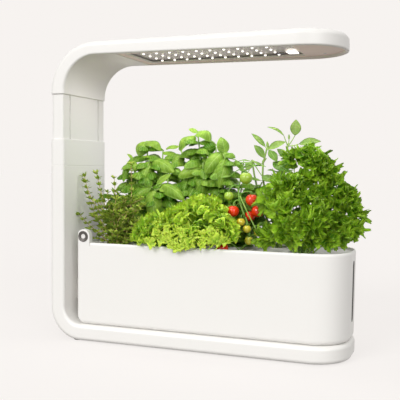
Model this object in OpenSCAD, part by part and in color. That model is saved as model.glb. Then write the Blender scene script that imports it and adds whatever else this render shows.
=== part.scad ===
// Countertop hydroponic garden: a C-shaped frame with a grow lamp that slides up on a mast,
// a water tank that slides out to the front, and seven planted pods in a lift-off deck.
// Millimetres. X runs along the garden, -Y is the front, Z = 0 is the worktop.

/* [Frame] */
// Length of the frame, from the column's outer face to the round end of the base
frame_w = 430; // [420:1:520]
// Depth of the frame, front to back
frame_d = 125; // [122:1:150]
// Thickness of the base slab and of the column
frame_t = 23.8; // [23:0.2:26]
// Height of the rubber feet below the base
foot_h = 1.6; // [1:0.1:4]
// Outer radius of the bend between the base and the column
low_bend_r = 48; // [44:1:60]
// Plan radius of the base's corners at its free end
base_end_r = 50; // [40:1:55]
// Rounding of the base's long edges
base_edge_r = 6; // [5:0.5:8]
// Rounding of the column's long edges
column_edge_r = 8; // [6:0.5:9]
// Wall of the base moulding
base_wall = 2.4; // [2:0.1:3]
// Wall of the column, thin so that the mast runs inside it
column_wall = 1.5; // [1.2:0.1:1.8]
// Height of the seam where the column meets the collar
column_h = 254; // [240:1:265]
// Height of the collar on top of the column
collar_h = 38.5; // [30:0.5:45]
// Play between the mast and the column or the collar
mast_play = 0.4; // [0.35:0.05:0.6]
// Height of the power inlet's centre
inlet_z = 70; // [66:1:76]
// How far behind the middle the power inlet sits
inlet_y = 30; // [25:1:40]

/* [Lamp] */
// Height of the lamp arm's top above the worktop
lamp_top = 430; // [425:1:450]
// Thickness of the lamp arm
arm_t = 19; // [18:0.5:22]
// Outer radius of the bend between the mast and the arm
top_bend_r = 70; // [66:1:74]
// Inner radius of the same bend
top_inner_r = 50; // [46:1:52]
// How far the arm's tip stops short of the base's end
arm_short = 12; // [4:1:30]
// Length of mast that is hidden in the column at rest
mast_hidden = 140; // [120:1:150]
// Depth of the two grooves in the mast's inner face
groove_d = 1.6; // [0.8:0.1:2]
// Width of those grooves
groove_w = 4.5; // [3:0.5:6]
// Wall of the arm moulding
arm_wall = 2.2; // [1.8:0.1:2.6]
// Width of the rim left round the arm's underside cover
arm_rim = 5; // [4.5:0.5:7]
// Thickness of the underside cover and of the other flat covers
cover_t = 2; // [1.6:0.1:2.4]
// Length of the LED window
led_window_l = 238; // [220:1:240]
// How far the LED window stays inside the arm's front and back
led_margin = 16.5; // [15:0.5:20]
// LEDs along the window
led_columns = 10; // [8:1:10]
// LEDs across the window
led_rows = 4; // [2:1:4]
// Spacing of the LEDs
led_pitch = 20; // [18:0.5:21]

/* [Tank] */
// Gap between the column and the tank's left wall
dock_gap = 18.8; // [16:0.2:24]
// How far the tank's walls stand back from the base's edges
tank_inset = 4; // [3:0.5:6]
// Height of the tank
tank_h = 118; // [112:1:122]
// Play under the tank and round the parts that lift out
play = 0.3; // [0.3:0.05:0.6]
// Plan radius of the tank's corners at the free end
tank_end_r = 46; // [40:1:50]
// Plan radius of the tank's corners beside the column
tank_corner_r = 6; // [5:0.5:9]
// Wall of the tank
tank_wall = 2.5; // [2:0.1:3]
// Draft of the tank's free end, top against bottom
tank_draft = 1.6; // [0.4:0.1:3]
// Rounding of the tank's bottom edges
tank_bottom_r = 6; // [5:0.5:8]
// Rounding of the tank's bottom edge beside the column
tank_left_r = 13; // [10:0.5:16]
// Depth of the deck's top below the tank's rim
deck_drop = 3.5; // [3:0.5:6]
// Thickness of the deck
deck_t = 2.6; // [2:0.1:3.2]
// Height of the level window
window_h = 82; // [70:1:86]
// Width of the level window
window_w = 12; // [10:0.5:13]
// Width of the button's ear on the rim
ear_w = 20.4; // [19:0.2:23]
// Height of the ear's round centre above the rim
ear_rise = 8.8; // [7:0.2:12]
// Thickness of the ear, front to back
ear_t = 10; // [9.5:0.5:12]
// Diameter of the button's bezel
bezel_dia = 15.6; // [14.6:0.2:16]
// Travel of the button
button_travel = 1.2; // [0.8:0.1:1.4]

/* [Pods] */
// How far the first pod's centre stands in from the tank's left wall
pod_from = 52.4; // [50:0.2:54]
// How far the last pod's centre stands in from the tank's free end
pod_to = 65; // [62:1:68]
// How far the rows of pods stand in from the frame's front and back
row_inset = 35.5; // [34:0.5:37]
// Radius of the holes in the deck
hole_r = 19.5; // [18:0.1:20]
// Depth of a basket below the deck's top
basket_h = 46; // [40:1:50]
// Wall of a basket
basket_wall = 1.4; // [1.2:0.1:2]
// Width of the basket's flange on the deck
flange_w = 3; // [2.4:0.2:3.6]

/* [Hidden] */
$fn = 48;

base_z = foot_h;
base_top = foot_h + frame_t;
left_x = -frame_w/2;
right_x = frame_w/2;
column_in = left_x + frame_t;
column_x = left_x + frame_t/2;
low_c = [left_x + low_bend_r, base_z + low_bend_r];
low_inner_r = low_bend_r - frame_t;
collar_top = column_h + collar_h;
mast_in = column_wall + mast_play;
mast_bottom = collar_top - mast_hidden;
seam_z = lamp_top - top_bend_r - 3;
arm_z = lamp_top - arm_t;
arm_end_r = frame_d/2 - 4;
arm_x = right_x - arm_short;
arm_from = column_in + top_inner_r + 14;
led_c = left_x + 232;
led_window_d = frame_d - 2*led_margin;
led_z = arm_z + cover_t + 1.2 + 0.2;
tank_x = column_in + dock_gap;
tank_y = frame_d/2 - tank_inset;
tank_z = base_top + play;
rim_z = tank_z + tank_h;
deck_z = rim_z - deck_drop;
seat_z = deck_z - deck_t;
dock_y = -14;
dock_w = 22;
dock_z = 70;
dock_h = 28;
ear_x = tank_x + 0.9 + ear_w/2;
ear_z = rim_z + ear_rise;
pump_c = [tank_x + 32, tank_y - 30.5];
flap_c = [tank_x + 25.4, tank_y - 30.5];
cover_x = frame_w/2 - 62;
cover_y = frame_d/2 - 15.5;
row_y = frame_d/2 - row_inset;
pod_pitch = (right_x - pod_to - tank_x - pod_from)/3;
float_c = right_x - 13;

// ---- helpers ----
// Points on an arc about c from angle a to angle b
function arc(c, r, a, b, n) = [for (k = [0:n]) let (t = a + (b - a)*k/n) [c[0] + r*cos(t), c[1] + r*sin(t)]];

// One point of a slab's rounded long edge: [half depth, depth below the face], at angle q round the edge
// and dx past the centre of the plan corner
function edge(d, r_plan, r, q, dx) = let (rho = r_plan - r + r*cos(q), y0 = d/2 - r_plan)
    rho > dx ? [y0 + sqrt(rho*rho - dx*dx), r - r*sin(q)]
             : [y0, r - sqrt(max(0, r*r - pow(dx - r_plan + r, 2)))];

// Ring round a slab whose outer and inner faces pass through o and i in the XZ plane
function ring(o, i, d, r_plan, ro, ri, dx = 0, n = 4) =
    let (t = norm(o - i), u = (o - i)/t, m = 90/n,
         back = concat([for (q = [90:-m:0]) let (e = edge(d, r_plan, ro, q, dx)) [e[0], t - e[1]]],
                       [for (q = [0:m:90]) edge(d, r_plan, ri, q, dx)]),
         all = concat(back, [for (k = [len(back) - 1:-1:0]) [-back[k][0], back[k][1]]]))
    [for (p = all) [i[0] + u[0]*p[1], p[0], i[1] + u[1]*p[1]]];

// Skins a list of equal rings into one closed solid; a sweep that climbs is listed from its far end
module skin(rings) {
    n = len(rings[0]);
    m = len(rings);
    walls = [for (j = [0:m - 2], k = [0:n - 1]) let (a = j*n + k, b = j*n + (k + 1)%n)
        each [[a, b + n, b], [a, a + n, b + n]]];
    polyhedron([for (r = rings) each r], concat([[for (k = [0:n - 1]) k]], walls,
        [[for (k = [n - 1:-1:0]) (m - 1)*n + k]]), convexity = 6);
}

// Plan outline of the tank and of the parts that follow it
function tank_plan(x0, x1, y, r0, r1, n = 9, m = 4) = concat(
    arc([x1 - r1, y - r1], r1, 0, 90, n), arc([x0 + r0, y - r0], r0, 90, 180, m),
    arc([x0 + r0, -y + r0], r0, 180, 270, m), arc([x1 - r1, -y + r1], r1, 270, 360, n));

// The tank's plan shrunk by w, at height z above its underside
function tank_level(w, z, e = 0, e_left = 0) = tank_plan(tank_x + w + e_left,
    right_x - tank_draft*(1 - z/tank_h) - w - e, tank_y - w - e, max(tank_corner_r - w - e, 0.6), tank_end_r - w - e);
function lift(points, z) = [for (p = points) [p[0], p[1], z]];

// A wire of radius r through the points, eight-sided; no run of wire points along the vector that sets its sides
module wire(points, r) {
    n = len(points);
    skin([for (k = [0:n - 1])
        let (t = points[min(k + 1, n - 1)] - points[max(k - 1, 0)], e = cross(t, [0.48, 0.6, 0.64]), f = cross(t, e))
        [for (a = [0:45:315]) points[k] + r*cos(a)*e/norm(e) + r*sin(a)*f/norm(f)]]);
}
module along_x(p, h, r) { translate(p) rotate([0, 90, 0]) cylinder(h = h, r = r); }
module along_y(p, h, r) { translate(p) rotate([-90, 0, 0]) cylinder(h = h, r = r); }
module plate(points, z, t) { translate([0, 0, z]) linear_extrude(t) polygon(points); }
module screw(p, r_head, h_head, r, h) {
    translate(p) cylinder(h = h_head, r1 = r_head, r2 = r);
    translate(p) cylinder(h = h, r = r);
}

// ---- frame ----
// From the column's top, round the low bend, along the slab to its round end, all shrunk by w
function frame_rings(w, w_slab, top) = let (d = frame_d - 2*w, c = low_c, n = 8)
    concat([ring([left_x + w, top], [column_in - w, top], d, base_end_r, column_edge_r - w, column_edge_r - w)],
    [for (k = [0:n]) let (a = 180 + 90*k/n, u = [cos(a), sin(a)], v = w + (w_slab - w)*k/n,
        r = column_edge_r + (base_edge_r - column_edge_r)*k/n - v)
        ring(c + (low_bend_r - v)*u, c + (low_inner_r + v)*u, frame_d - 2*v, base_end_r - v, r, r)],
    [for (k = [0:n]) let (rp = base_end_r - w_slab, dx = rp*sin(90*k/n), x = right_x - base_end_r + dx,
        r = base_edge_r - w_slab)
        ring([x, base_z + w_slab], [x, base_top - w_slab], frame_d - 2*w_slab, rp, r, r, dx)]);

module base_shell() {
    color("whitesmoke")
    difference() {
        skin(frame_rings(0, 0, column_h));
        skin(frame_rings(column_wall, base_wall, column_h + 1));
        plate(cover_plan(3), base_z - 1, base_wall + 2);
        plate(cover_plan(0), base_z - 1, 1 + cover_t - 0.6);
        along_x([left_x - 1, inlet_y, inlet_z], 4, 4);
        along_x([column_in - 3, dock_y, dock_z], 4, 3);
    }
}

// Outline of the lid in the base's underside, shrunk by w
function cover_plan(w) = tank_plan(w - cover_x, cover_x - w, cover_y - w, 14 - w*2/3, 32 - w*2/3);
// Lid of the base's underside; it carries the posts that the control board stands on
module bottom_cover() {
    color("gainsboro")
    difference() {
        union() {
            plate(cover_plan(play), base_z, cover_t - 0.6);
            for (x = [-52, 22], y = [-24, 24]) translate([x, y, base_z + 1]) cylinder(h = 7, r = 3);
        }
        for (s = [-1, 1], t = [-1, 1]) translate([s*(cover_x - 6), t*22, base_z - 1]) cylinder(h = 8, r = 1.6);
    }
}

// Rubber feet: four near the corners and one in the middle
module feet() {
    color("dimgray")
    union() {
        for (p = [[left_x + 40, 45], [left_x + 40, -45], [right_x - 43, 30], [right_x - 43, -30]])
            translate([p[0], p[1], 0]) cylinder(h = foot_h, r = 8);
        cylinder(h = foot_h, r = 8);
    }
}

// Collar on the column's top, that the mast slides through
module collar() {
    color("whitesmoke")
    difference() {
        skin([for (z = [collar_top, column_h]) ring([left_x, z], [column_in, z], frame_d, base_end_r,
            column_edge_r, column_edge_r)]);
        skin([for (z = [collar_top + 1, column_h - 1]) ring([left_x + column_wall, z], [column_in - column_wall, z],
            frame_d - 2*column_wall, base_end_r, column_edge_r - column_wall, column_edge_r - column_wall)]);
    }
}

// Block between the column and the tank, with the spring contacts for the tank's button and pump
module dock_block() {
    color("gainsboro")
    difference() {
        translate([column_in, dock_y - dock_w/2, dock_z - dock_h/2]) cube([dock_gap - 1.5, dock_w, dock_h]);
        contacts(column_in - 1, dock_gap, 1.2);
        along_x([column_in - 1, dock_y, dock_z], 6, 3);
    }
}
module contacts(x, h, r) {
    for (s = [-1, 1], t = [-1, 1]) along_x([x, dock_y + s*6, dock_z + t*8], h, r);
}
module dock_contacts() {
    color("goldenrod") contacts(column_in + 6, dock_gap - 6 - play, 1.2);
}

// Barrel jack in the column's outer wall
module dc_socket() {
    color("black")
    union() {
        difference() {
            union() {
                along_x([left_x, inlet_y, inlet_z], column_wall + 1, 4);
                translate([left_x + column_wall, inlet_y - 5, inlet_z - 5]) cube([13, 10, 10]);
            }
            along_x([left_x - 1, inlet_y, inlet_z], 11, 2.8);
        }
        along_x([left_x + 1, inlet_y, inlet_z], 12, 1.05);
    }
}

module control_board() {
    color("darkgreen")
    union() {
        translate([-58, -30, base_z + 8]) cube([86, 60, 1.6]);
        translate([-58, -20, base_z + 9.6]) cube([8, 56 - 6, 6]);
        translate([-20, -8, base_z + 9.6]) cube([14, 14, 1.6]);
        translate([6, 6, base_z + 9.6]) cylinder(h = 9, r = 5);
    }
}

// Path that the wires take from height z in the column down to the control board
function wire_path(y, z, y_end) = let (r = low_bend_r - frame_t/2 - 1) concat([[column_x - 1, y, z]],
    [for (a = [180:22.5:270]) [low_c[0] + r*cos(a), y, low_c[1] + r*sin(a)]], [[-66, y_end, low_c[1] - r],
    [-58, y_end, low_c[1] - r]]);
// Wires in the base: from the power inlet, the lamp's lead and the dock to the control board
module base_leads() {
    color("black")
    union() {
        wire(wire_path(inlet_y, inlet_z - 5.3, inlet_y - 11), 1.6);
        wire(wire_path(6, 51, 6), 1.4);
        wire(concat([[column_in + 5, dock_y, dock_z]], wire_path(dock_y, dock_z, dock_y)), 1.4);
    }
}
// Clip that holds the lower end of the lamp's curly lead
module coil_clip() {
    color("gainsboro") translate([left_x + column_wall, 0, 52]) cube([frame_t - 2*column_wall, 12, 6]);
}
module lamp_coil_lead() {
    color("black") translate([column_x - 1, 6, 58]) cylinder(h = mast_bottom - 58, r = 4.2);
}

// ---- lamp ----
// Section of the mast, shrunk by w, with its two grooves cut in the face over the tank
module mast() {
    color("gainsboro")
    difference() {
        skin([for (z = [seam_z, mast_bottom]) ring([left_x + mast_in, z], [column_in - mast_in, z],
            frame_d - 2*mast_in, base_end_r, column_edge_r - mast_in, column_edge_r - mast_in)]);
        skin([for (z = [seam_z - 3, mast_bottom - 1]) ring([left_x + mast_in + 1.8, z],
            [column_in - mast_in - 3.4, z], frame_d - 2*mast_in - 4, base_end_r, 3, 2)]);
        for (s = [-1, 1]) translate([column_in - mast_in - groove_d, s*41.5 - groove_w/2, mast_bottom - 1])
            cube([groove_d + 1, groove_w, mast_hidden + 90]);
        translate([column_x - 1, 6, seam_z - 4]) cylinder(h = 6, r = 3);
    }
}

// Plug in the mast's lower end, that grips the curly lead
module mast_shoe() {
    color("dimgray")
    difference() {
        skin([for (z = [mast_bottom + 12, mast_bottom]) ring([left_x + mast_in + 1.8, z],
            [column_in - mast_in - 3.4, z], frame_d - 2*mast_in - 4, base_end_r, 3, 2)]);
        translate([column_x - 1, 6, mast_bottom - 1]) cylinder(h = 14, r = 1.5);
        for (s = [-1, 1]) translate([left_x, s*30 - 12, mast_bottom + 3]) cube([frame_t, 24, 20]);
    }
}

// From the seam on the mast, round the top bend, along the arm to its round tip, all shrunk by w
function arm_rings(w, z0) = let (rings = arm_sweep(w, z0)) [for (k = [len(rings) - 1:-1:0]) rings[k]];
function arm_sweep(w, z0) = let (n = 10, m = 8, rp = arm_end_r - w, co = [left_x + top_bend_r, lamp_top - top_bend_r],
    ci = [column_in + top_inner_r, arm_z - top_inner_r])
    concat([ring([left_x + w, z0], [column_in - w, z0], frame_d - 2*w, rp, 8 - w, 7 - w)],
    [for (k = [0:n]) let (a = 180 - 90*k/n, u = [cos(a), sin(a)])
        ring(co + (top_bend_r - w)*u, ci + (top_inner_r + w)*u, frame_d - 2*w, rp, 8 - w, 7 - 3*k/n - w)],
    [for (k = [0:m]) let (dx = rp*sin(90*k/m), x = arm_x - arm_end_r + dx)
        ring([x, lamp_top - w], [x, arm_z + w], frame_d - 2*w, rp, 8 - w, 4 - w, dx)]);
function arm_plan(w) = tank_plan(arm_from + w, arm_x - arm_rim - w, frame_d/2 - arm_rim - w, 6,
    arm_end_r - arm_rim - w, 12);
arm_posts = [for (x = [arm_from + 12, (arm_from + arm_x)/2, arm_x - 38], s = [-1, 1])
    [x, s*(frame_d/2 - (x == arm_x - 38 ? 26.5 : 9.6))]];
led_posts = [for (s = [-1, 1], t = [-1, 1]) [led_c + s*(led_window_l/2 - 2), t*(led_window_d/2 - 3)]];
module arm_shell() {
    color("whitesmoke")
    difference() {
        skin(arm_rings(0, seam_z));
        difference() {
            skin(arm_rings(arm_wall, seam_z + 2.6));
            for (p = arm_posts) translate([p[0], p[1], arm_z - 1]) cylinder(h = arm_t + 2, r = 3.4);
            for (p = led_posts) translate([p[0], p[1], led_z + 4.5]) cylinder(h = arm_t, r = 3);
        }
        difference() {
            plate(arm_plan(0), arm_z - 1, arm_wall + 1.2);
            for (p = arm_posts) translate([p[0], p[1], arm_z + cover_t]) cylinder(h = arm_t, r = 3.4);
        }
        for (p = arm_posts) translate([p[0], p[1], arm_z]) cylinder(h = 10, r = 1.2);
        translate([column_x - 1, 6, seam_z - 1]) cylinder(h = 6, r = 3);
    }
}

// Underside cover of the arm, open where the LEDs shine down
module arm_underside() {
    color("gainsboro")
    difference() {
        plate(arm_plan(0.15), arm_z, cover_t);
        translate([led_c - led_window_l/2, -led_window_d/2, arm_z - 1]) cube([led_window_l, led_window_d, 5]);
        for (p = arm_posts) screw([p[0], p[1], arm_z - 0.01], 2.6, 1.5, 1.25, 5);
    }
}
module arm_screws() {
    color("silver") for (p = arm_posts) screw([p[0], p[1], arm_z], 2.5, 1.4, 1.15, 9);
}

// Clear plate over the LEDs, the board with them, and the aluminium plate behind it
module led_stack(z, t) {
    translate([led_c - led_window_l/2 - 3, -led_window_d/2 - 3, z]) cube([led_window_l + 6, led_window_d + 6, t]);
}
module led_lens() { color("white") led_stack(arm_z + cover_t, 1.2); }
module led_board() {
    color("gray")
    union() {
        led_stack(led_z + 0.9, 1.6);
        for (s = [-1, 1], t = [-1, 1])
            translate([led_c + s*(led_window_l/2 + 0.5), t*(led_window_d/2 + 0.5), arm_z + cover_t + 1.2])
                cylinder(h = 2, r = 1.2);
    }
}
module leds() {
    color("lightyellow")
    for (i = [0:led_columns - 1], j = [0:led_rows - 1])
        translate([led_c - 7 + (i - (led_columns - 1)/2)*led_pitch - 1.75, (j - (led_rows - 1)/2)*led_pitch - 1.4,
            led_z]) cube([3.5, 2.8, 0.9]);
}
module heat_spreader() { color("silver") led_stack(led_z + 2.5, 2); }
module lamp_lead() {
    r = top_bend_r - 12;
    color("black") wire(concat([[column_x - 1, 6, mast_bottom + 2], [column_x - 1, 6, seam_z + 3]],
        [for (a = [180:-22.5:90]) [left_x + top_bend_r + r*cos(a), 6, lamp_top - top_bend_r + r*sin(a)]],
        [[led_c - led_window_l/2 - 3, 6, lamp_top - 12]]), 1.4);
}

// ---- tank ----
ledge = 5;
tank_outer = concat([for (q = [0:15:90]) let (z = tank_left_r*(1 - cos(q)), b = tank_bottom_r,
    e = z < b ? b - sqrt(b*b - pow(b - z, 2)) : 0)
    lift(tank_level(0, z, e, tank_left_r*(1 - sin(q))), tank_z + z)], [lift(tank_level(0, tank_h), rim_z)]);
tank_inner = let (w = tank_wall, b = tank_bottom_r - w, c = tank_left_r - w) concat(
    [for (q = [0:15:90]) let (z = c*(1 - cos(q)), e = z < b ? b - sqrt(b*b - pow(b - z, 2)) : 0)
        lift(tank_level(w, z + w, e, c*(1 - sin(q))), tank_z + w + z)],
    [for (e = [[w, seat_z - 5], [ledge, seat_z - 2], [ledge, seat_z], [w, seat_z], [w, rim_z + 1]])
        lift(tank_level(e[0], e[1] - tank_z), e[1])]);
window_a = atan(tank_draft/tank_h);

// An upright slot shape through the free end wall
module window_shape(w, h, x, t) {
    translate([right_x - tank_draft*(1 - 64/tank_h), 0, tank_z + 64]) rotate([0, window_a, 0])
    union() {
        translate([x, -w/2, -(h - w)/2]) cube([t, w, h - w]);
        for (s = [-1, 1]) along_x([x, 0, s*(h - w)/2], t, w/2);
    }
}
module tank_shell() {
    color("whitesmoke")
    difference() {
        union() {
            difference() { skin(tank_outer); skin(tank_inner); }
            intersection() {
                plate(tank_level(0, tank_h), tank_z + 80, 90);
                union() {
                    translate([ear_x - ear_w/2, -tank_y, seat_z - 22]) cube([ear_w, ear_t, ear_z - seat_z + 22]);
                    along_y([ear_x, -tank_y, ear_z], ear_t, ear_w/2);
                }
            }
        }
        window_shape(window_w, window_h, -6, 8);
        along_y([ear_x, -tank_y - 1, ear_z], 6.6, 6);
        translate([ear_x - 3.7, -tank_y + 5.5, ear_z - 3.7]) cube([7.4, 6, 7.4]);
        translate([ear_x + ear_w/2, -tank_y - 1, rim_z - 4.5]) cube([0.9, ear_t, 9]);
        translate([tank_x - 1, dock_y - dock_w/2, dock_z - dock_h/2]) cube([6, dock_w, dock_h]);
    }
}
module level_window() {
    color("dimgray")
    union() {
        window_shape(window_w - 0.1, window_h - 0.1, -tank_wall - 0.5, tank_wall + 0.4);
        window_shape(window_w + 5, window_h + 5, -tank_wall - 1.25, 1.2);
    }
}

// Channel that keeps the float behind the window
module float_guide() {
    z = tank_z + tank_wall;
    color("white")
    union() {
        for (s = [-1, 1]) translate([float_c - 9, s*8.6 - 0.8, z]) cube([15, 1.6, seat_z - 4 - z]);
        translate([float_c - 9, -9.4, z + 14]) cube([15, 18.8, 2]);
        translate([float_c - 9, -9.4, seat_z - 6]) cube([17, 18.8, 2]);
    }
}
module float() {
    color("orangered") translate([float_c, 0, tank_z + tank_wall + 16]) cylinder(h = 12, r = 7);
}

// Metal ring of the push button, its cap and the switch behind it
module button_bezel() {
    color("silver")
    difference() {
        union() {
            along_y([ear_x, -tank_y - 1, ear_z], 1, bezel_dia/2);
            along_y([ear_x, -tank_y, ear_z], 5.5, 5.95);
        }
        along_y([ear_x, -tank_y - 2, ear_z], 9, 4.7);
        along_y([ear_x, -tank_y + 3, ear_z], 4, 5.5);
        translate([ear_x, -tank_y - 1.01, ear_z]) rotate([-90, 0, 0]) cylinder(h = 1.6, r1 = 6.4, r2 = 4.7);
    }
}
module button_cap() {
    color("gainsboro")
    union() {
        along_y([ear_x, -tank_y - 0.2, ear_z], 3.6, 4.4);
        along_y([ear_x, -tank_y + 3.05, ear_z], 0.8, 5.15);
        along_y([ear_x, -tank_y + 3.5, ear_z], 0.6, 2);
    }
}
module button_switch() {
    y = -tank_y + 4.1 + button_travel;
    color("dimgray")
    union() {
        along_y([ear_x, y + 0.05, ear_z], 2, 1.6);
        translate([ear_x - 3.7, -tank_y + 6.2, ear_z - 3.7]) cube([7.4, ear_t - 6.2, 7.4]);
    }
}

// Plate in the tank's left wall with the pads that the dock's contacts touch
module contact_plate() {
    color("dimgray")
    translate([tank_x, dock_y - dock_w/2, dock_z - dock_h/2]) cube([tank_wall, dock_w, dock_h]);
}

// Pump: housing on the tank's floor, strainer lid, rotor and outlet riser
pump_z = tank_z + tank_wall;
module pump_housing() {
    color("dimgray")
    difference() {
        union() {
            translate([pump_c[0], pump_c[1], pump_z]) cylinder(h = 26, r = 17);
            translate([pump_c[0], pump_c[1] + 4, pump_z + 12]) cube([25, 11, 11]);
        }
        translate([pump_c[0], pump_c[1], pump_z + 3]) cylinder(h = 30, r = 13);
        along_x([pump_c[0] + 10, pump_c[1] + 9.5, pump_z + 17.5], 18, 3.2);
    }
    color("silver") translate([pump_c[0], pump_c[1], pump_z + 2]) cylinder(h = 20, r = 1.5);
}
module pump_cover() {
    color("dimgray")
    translate([pump_c[0], pump_c[1], pump_z + 26])
    difference() {
        cylinder(h = 2.4, r = 17);
        for (a = [0:45:315]) rotate([0, 0, a]) translate([5, -1, -1]) cube([8, 2, 5]);
    }
}
module pump_rotor() {
    color("white")
    translate([pump_c[0], pump_c[1], pump_z + 4])
    difference() {
        union() {
            cylinder(h = 18, r = 4.5);
            for (a = [0:60:300]) rotate([0, 0, a]) translate([0, -0.8, 2]) cube([12, 1.6, 15]);
        }
        translate([0, 0, -1]) cylinder(h = 30, r = 1.55);
    }
}
module pump_riser() {
    color("lightgray")
    difference() {
        union() {
            along_x([pump_c[0] + 25, pump_c[1] + 9.5, pump_z + 17.5], 8, 4.4);
            translate([pump_c[0] + 33, pump_c[1] + 9.5, pump_z + 13]) cylinder(h = 60, r = 4.5);
        }
        along_x([pump_c[0] + 22, pump_c[1] + 9.5, pump_z + 17.5], 11, 2.6);
        translate([pump_c[0] + 33, pump_c[1] + 9.5, pump_z + 15]) cylinder(h = 60, r = 2.6);
    }
}
// Wires in the tank: from the pump and the button to the contact plate
module tank_leads() {
    color("black")
    union() {
        wire([[pump_c[0] - 15.5, pump_c[1] - 2, pump_z + 28.4], [pump_c[0] - 15.5, pump_c[1] - 2, dock_z + 6],
            [tank_x + 6, dock_y, dock_z + 6], [tank_x + tank_wall, dock_y, dock_z + 6]], 1.5);
        wire([[ear_x, -tank_y + ear_t, ear_z], [ear_x, -tank_y + ear_t + 2.4, ear_z],
            [ear_x, -tank_y + ear_t + 2.4, seat_z - 24], [tank_x + 6, dock_y - 6, dock_z],
            [tank_x + tank_wall, dock_y - 6, dock_z]], 1);
    }
}

// ---- deck and pods ----
pods = [for (k = [0:6]) [tank_x + pod_from + (k < 4 ? k : k - 3.5)*pod_pitch, k < 4 ? -row_y : row_y]];
module deck() {
    color("whitesmoke")
    difference() {
        union() {
            plate(tank_level(tank_wall + play, tank_h - 3), seat_z, deck_t);
            for (s = [-1, 1]) translate([flap_c[0] + s*15 - 2.5, flap_c[1] + 20.4, deck_z - 1]) cube([5, 4.4, 4.4]);
        }
        for (p = pods) translate([p[0], p[1], seat_z - 1]) cylinder(h = 8, r = hole_r);
        translate([flap_c[0] - 15, flap_c[1] - 17, seat_z - 1]) cube([30, 32, 8]);
        translate([tank_x, -tank_y, seat_z - 1]) cube([ear_x + ear_w/2 + 1.2 - tank_x, ear_t + 3.8, 8]);
        along_x([flap_c[0] - 20, flap_c[1] + 22.4, deck_z + 1.8], 40, 0.85);
    }
}
module fill_flap() {
    color("whitesmoke")
    difference() {
        union() {
            translate([flap_c[0] - 18, flap_c[1] - 20, deck_z + play]) cube([36, 39.5, 1.8]);
            translate([flap_c[0] - 12, flap_c[1] + 18, deck_z + play]) cube([24, 4.4, 1.4]);
            along_x([flap_c[0] - 12, flap_c[1] + 22.4, deck_z + 1.8], 24, 1.5);
        }
        along_x([flap_c[0] - 20, flap_c[1] + 22.4, deck_z + 1.8], 40, 0.85);
    }
}
module flap_pin() {
    color("silver") along_x([flap_c[0] - 17.5, flap_c[1] + 22.4, deck_z + 1.8], 35, 0.8);
}

// Net basket of one pod: a tapered cup that hangs by its flange
module basket(k) {
    r = hole_r - 0.5;
    low = r - 4.5;
    color("whitesmoke")
    translate([pods[k][0], pods[k][1], deck_z])
    difference() {
        rotate_extrude() polygon([[0, -basket_h], [low, -basket_h], [r, 0], [r + flange_w + 0.5, 0],
            [r + flange_w + 0.5, 1.4], [r - basket_wall, 1.4], [low - basket_wall, 1.6 - basket_h], [0, 1.6 - basket_h]]);
        for (a = [0:60:300]) rotate([0, 0, a]) translate([low - 6, -3, -basket_h + 6]) cube([20, 6, 24]);
        for (a = [0:60:300]) rotate([0, 0, a]) translate([6, 0, -basket_h - 1]) cylinder(h = 4, r = 2);
    }
}
module sponge(k) {
    r = hole_r - 0.5 - basket_wall;
    color("darkkhaki")
    translate([pods[k][0], pods[k][1], deck_z])
    rotate_extrude() polygon([[0, 1.6 - basket_h], [r - 4.7, 1.6 - basket_h], [r - 0.7, -5], [0, -5]]);
}

// ---- plants: each stands on its pod's sponge and keeps to its own upright cell, so it lifts out freely ----
root_z = deck_z - 5;
function root(k) = [pods[k][0], pods[k][1], root_z];

// A pointed leaf from p, along yaw and pitched up, l long and w wide
module leaf(p, yaw, pitch, l, w, t = 0.8) {
    translate(p) rotate([0, -pitch, yaw]) hull() linear_extrude(t)
        polygon([[-0.9, -0.6], [0.5*l, -0.5*w], [l, 0], [0.5*l, 0.5*w], [-0.9, 0.6]]);
}

// A cupped leaf: one solid that droops towards its tip
module cupped(p, yaw, pitch, l, w) {
    translate(p) rotate([0, -pitch, yaw]) hull() {
        linear_extrude(1) polygon([[-1.2, -0.8], [0.35*l, -0.5*w], [0.35*l, 0.5*w], [-1.2, 0.8]]);
        translate([0, 0, -0.14*l]) linear_extrude(0.7) polygon([[0.75*l, -0.38*w], [l, 0], [0.75*l, 0.38*w]]);
    }
}
function towards(b, a, d) = b + (a - b)*d/norm(a - b);
// Two small opposite leaves across a stem at p
module pair(p, yaw, l, w) {
    translate(p) rotate([0, 12, yaw]) hull() linear_extrude(0.9) polygon([[-l, 0], [0, -w/2], [l, 0], [0, w/2]]);
}
module twig(a, b, r) {
    hull() {
        translate(a) cylinder(h = 0.8, r = r, $fn = 5);
        translate(b) cylinder(h = 0.8, r = 0.65*r, $fn = 5);
    }
}
module tuft(p, r, a) {
    translate(p) rotate([0, 0, a]) hull() {
        cylinder(h = 0.8*r, r1 = r, r2 = 0.6*r, $fn = 6);
        translate([0, 0, -0.7*r]) cylinder(h = 0.7*r, r1 = 0.5*r, r2 = r, $fn = 6);
    }
}

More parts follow.
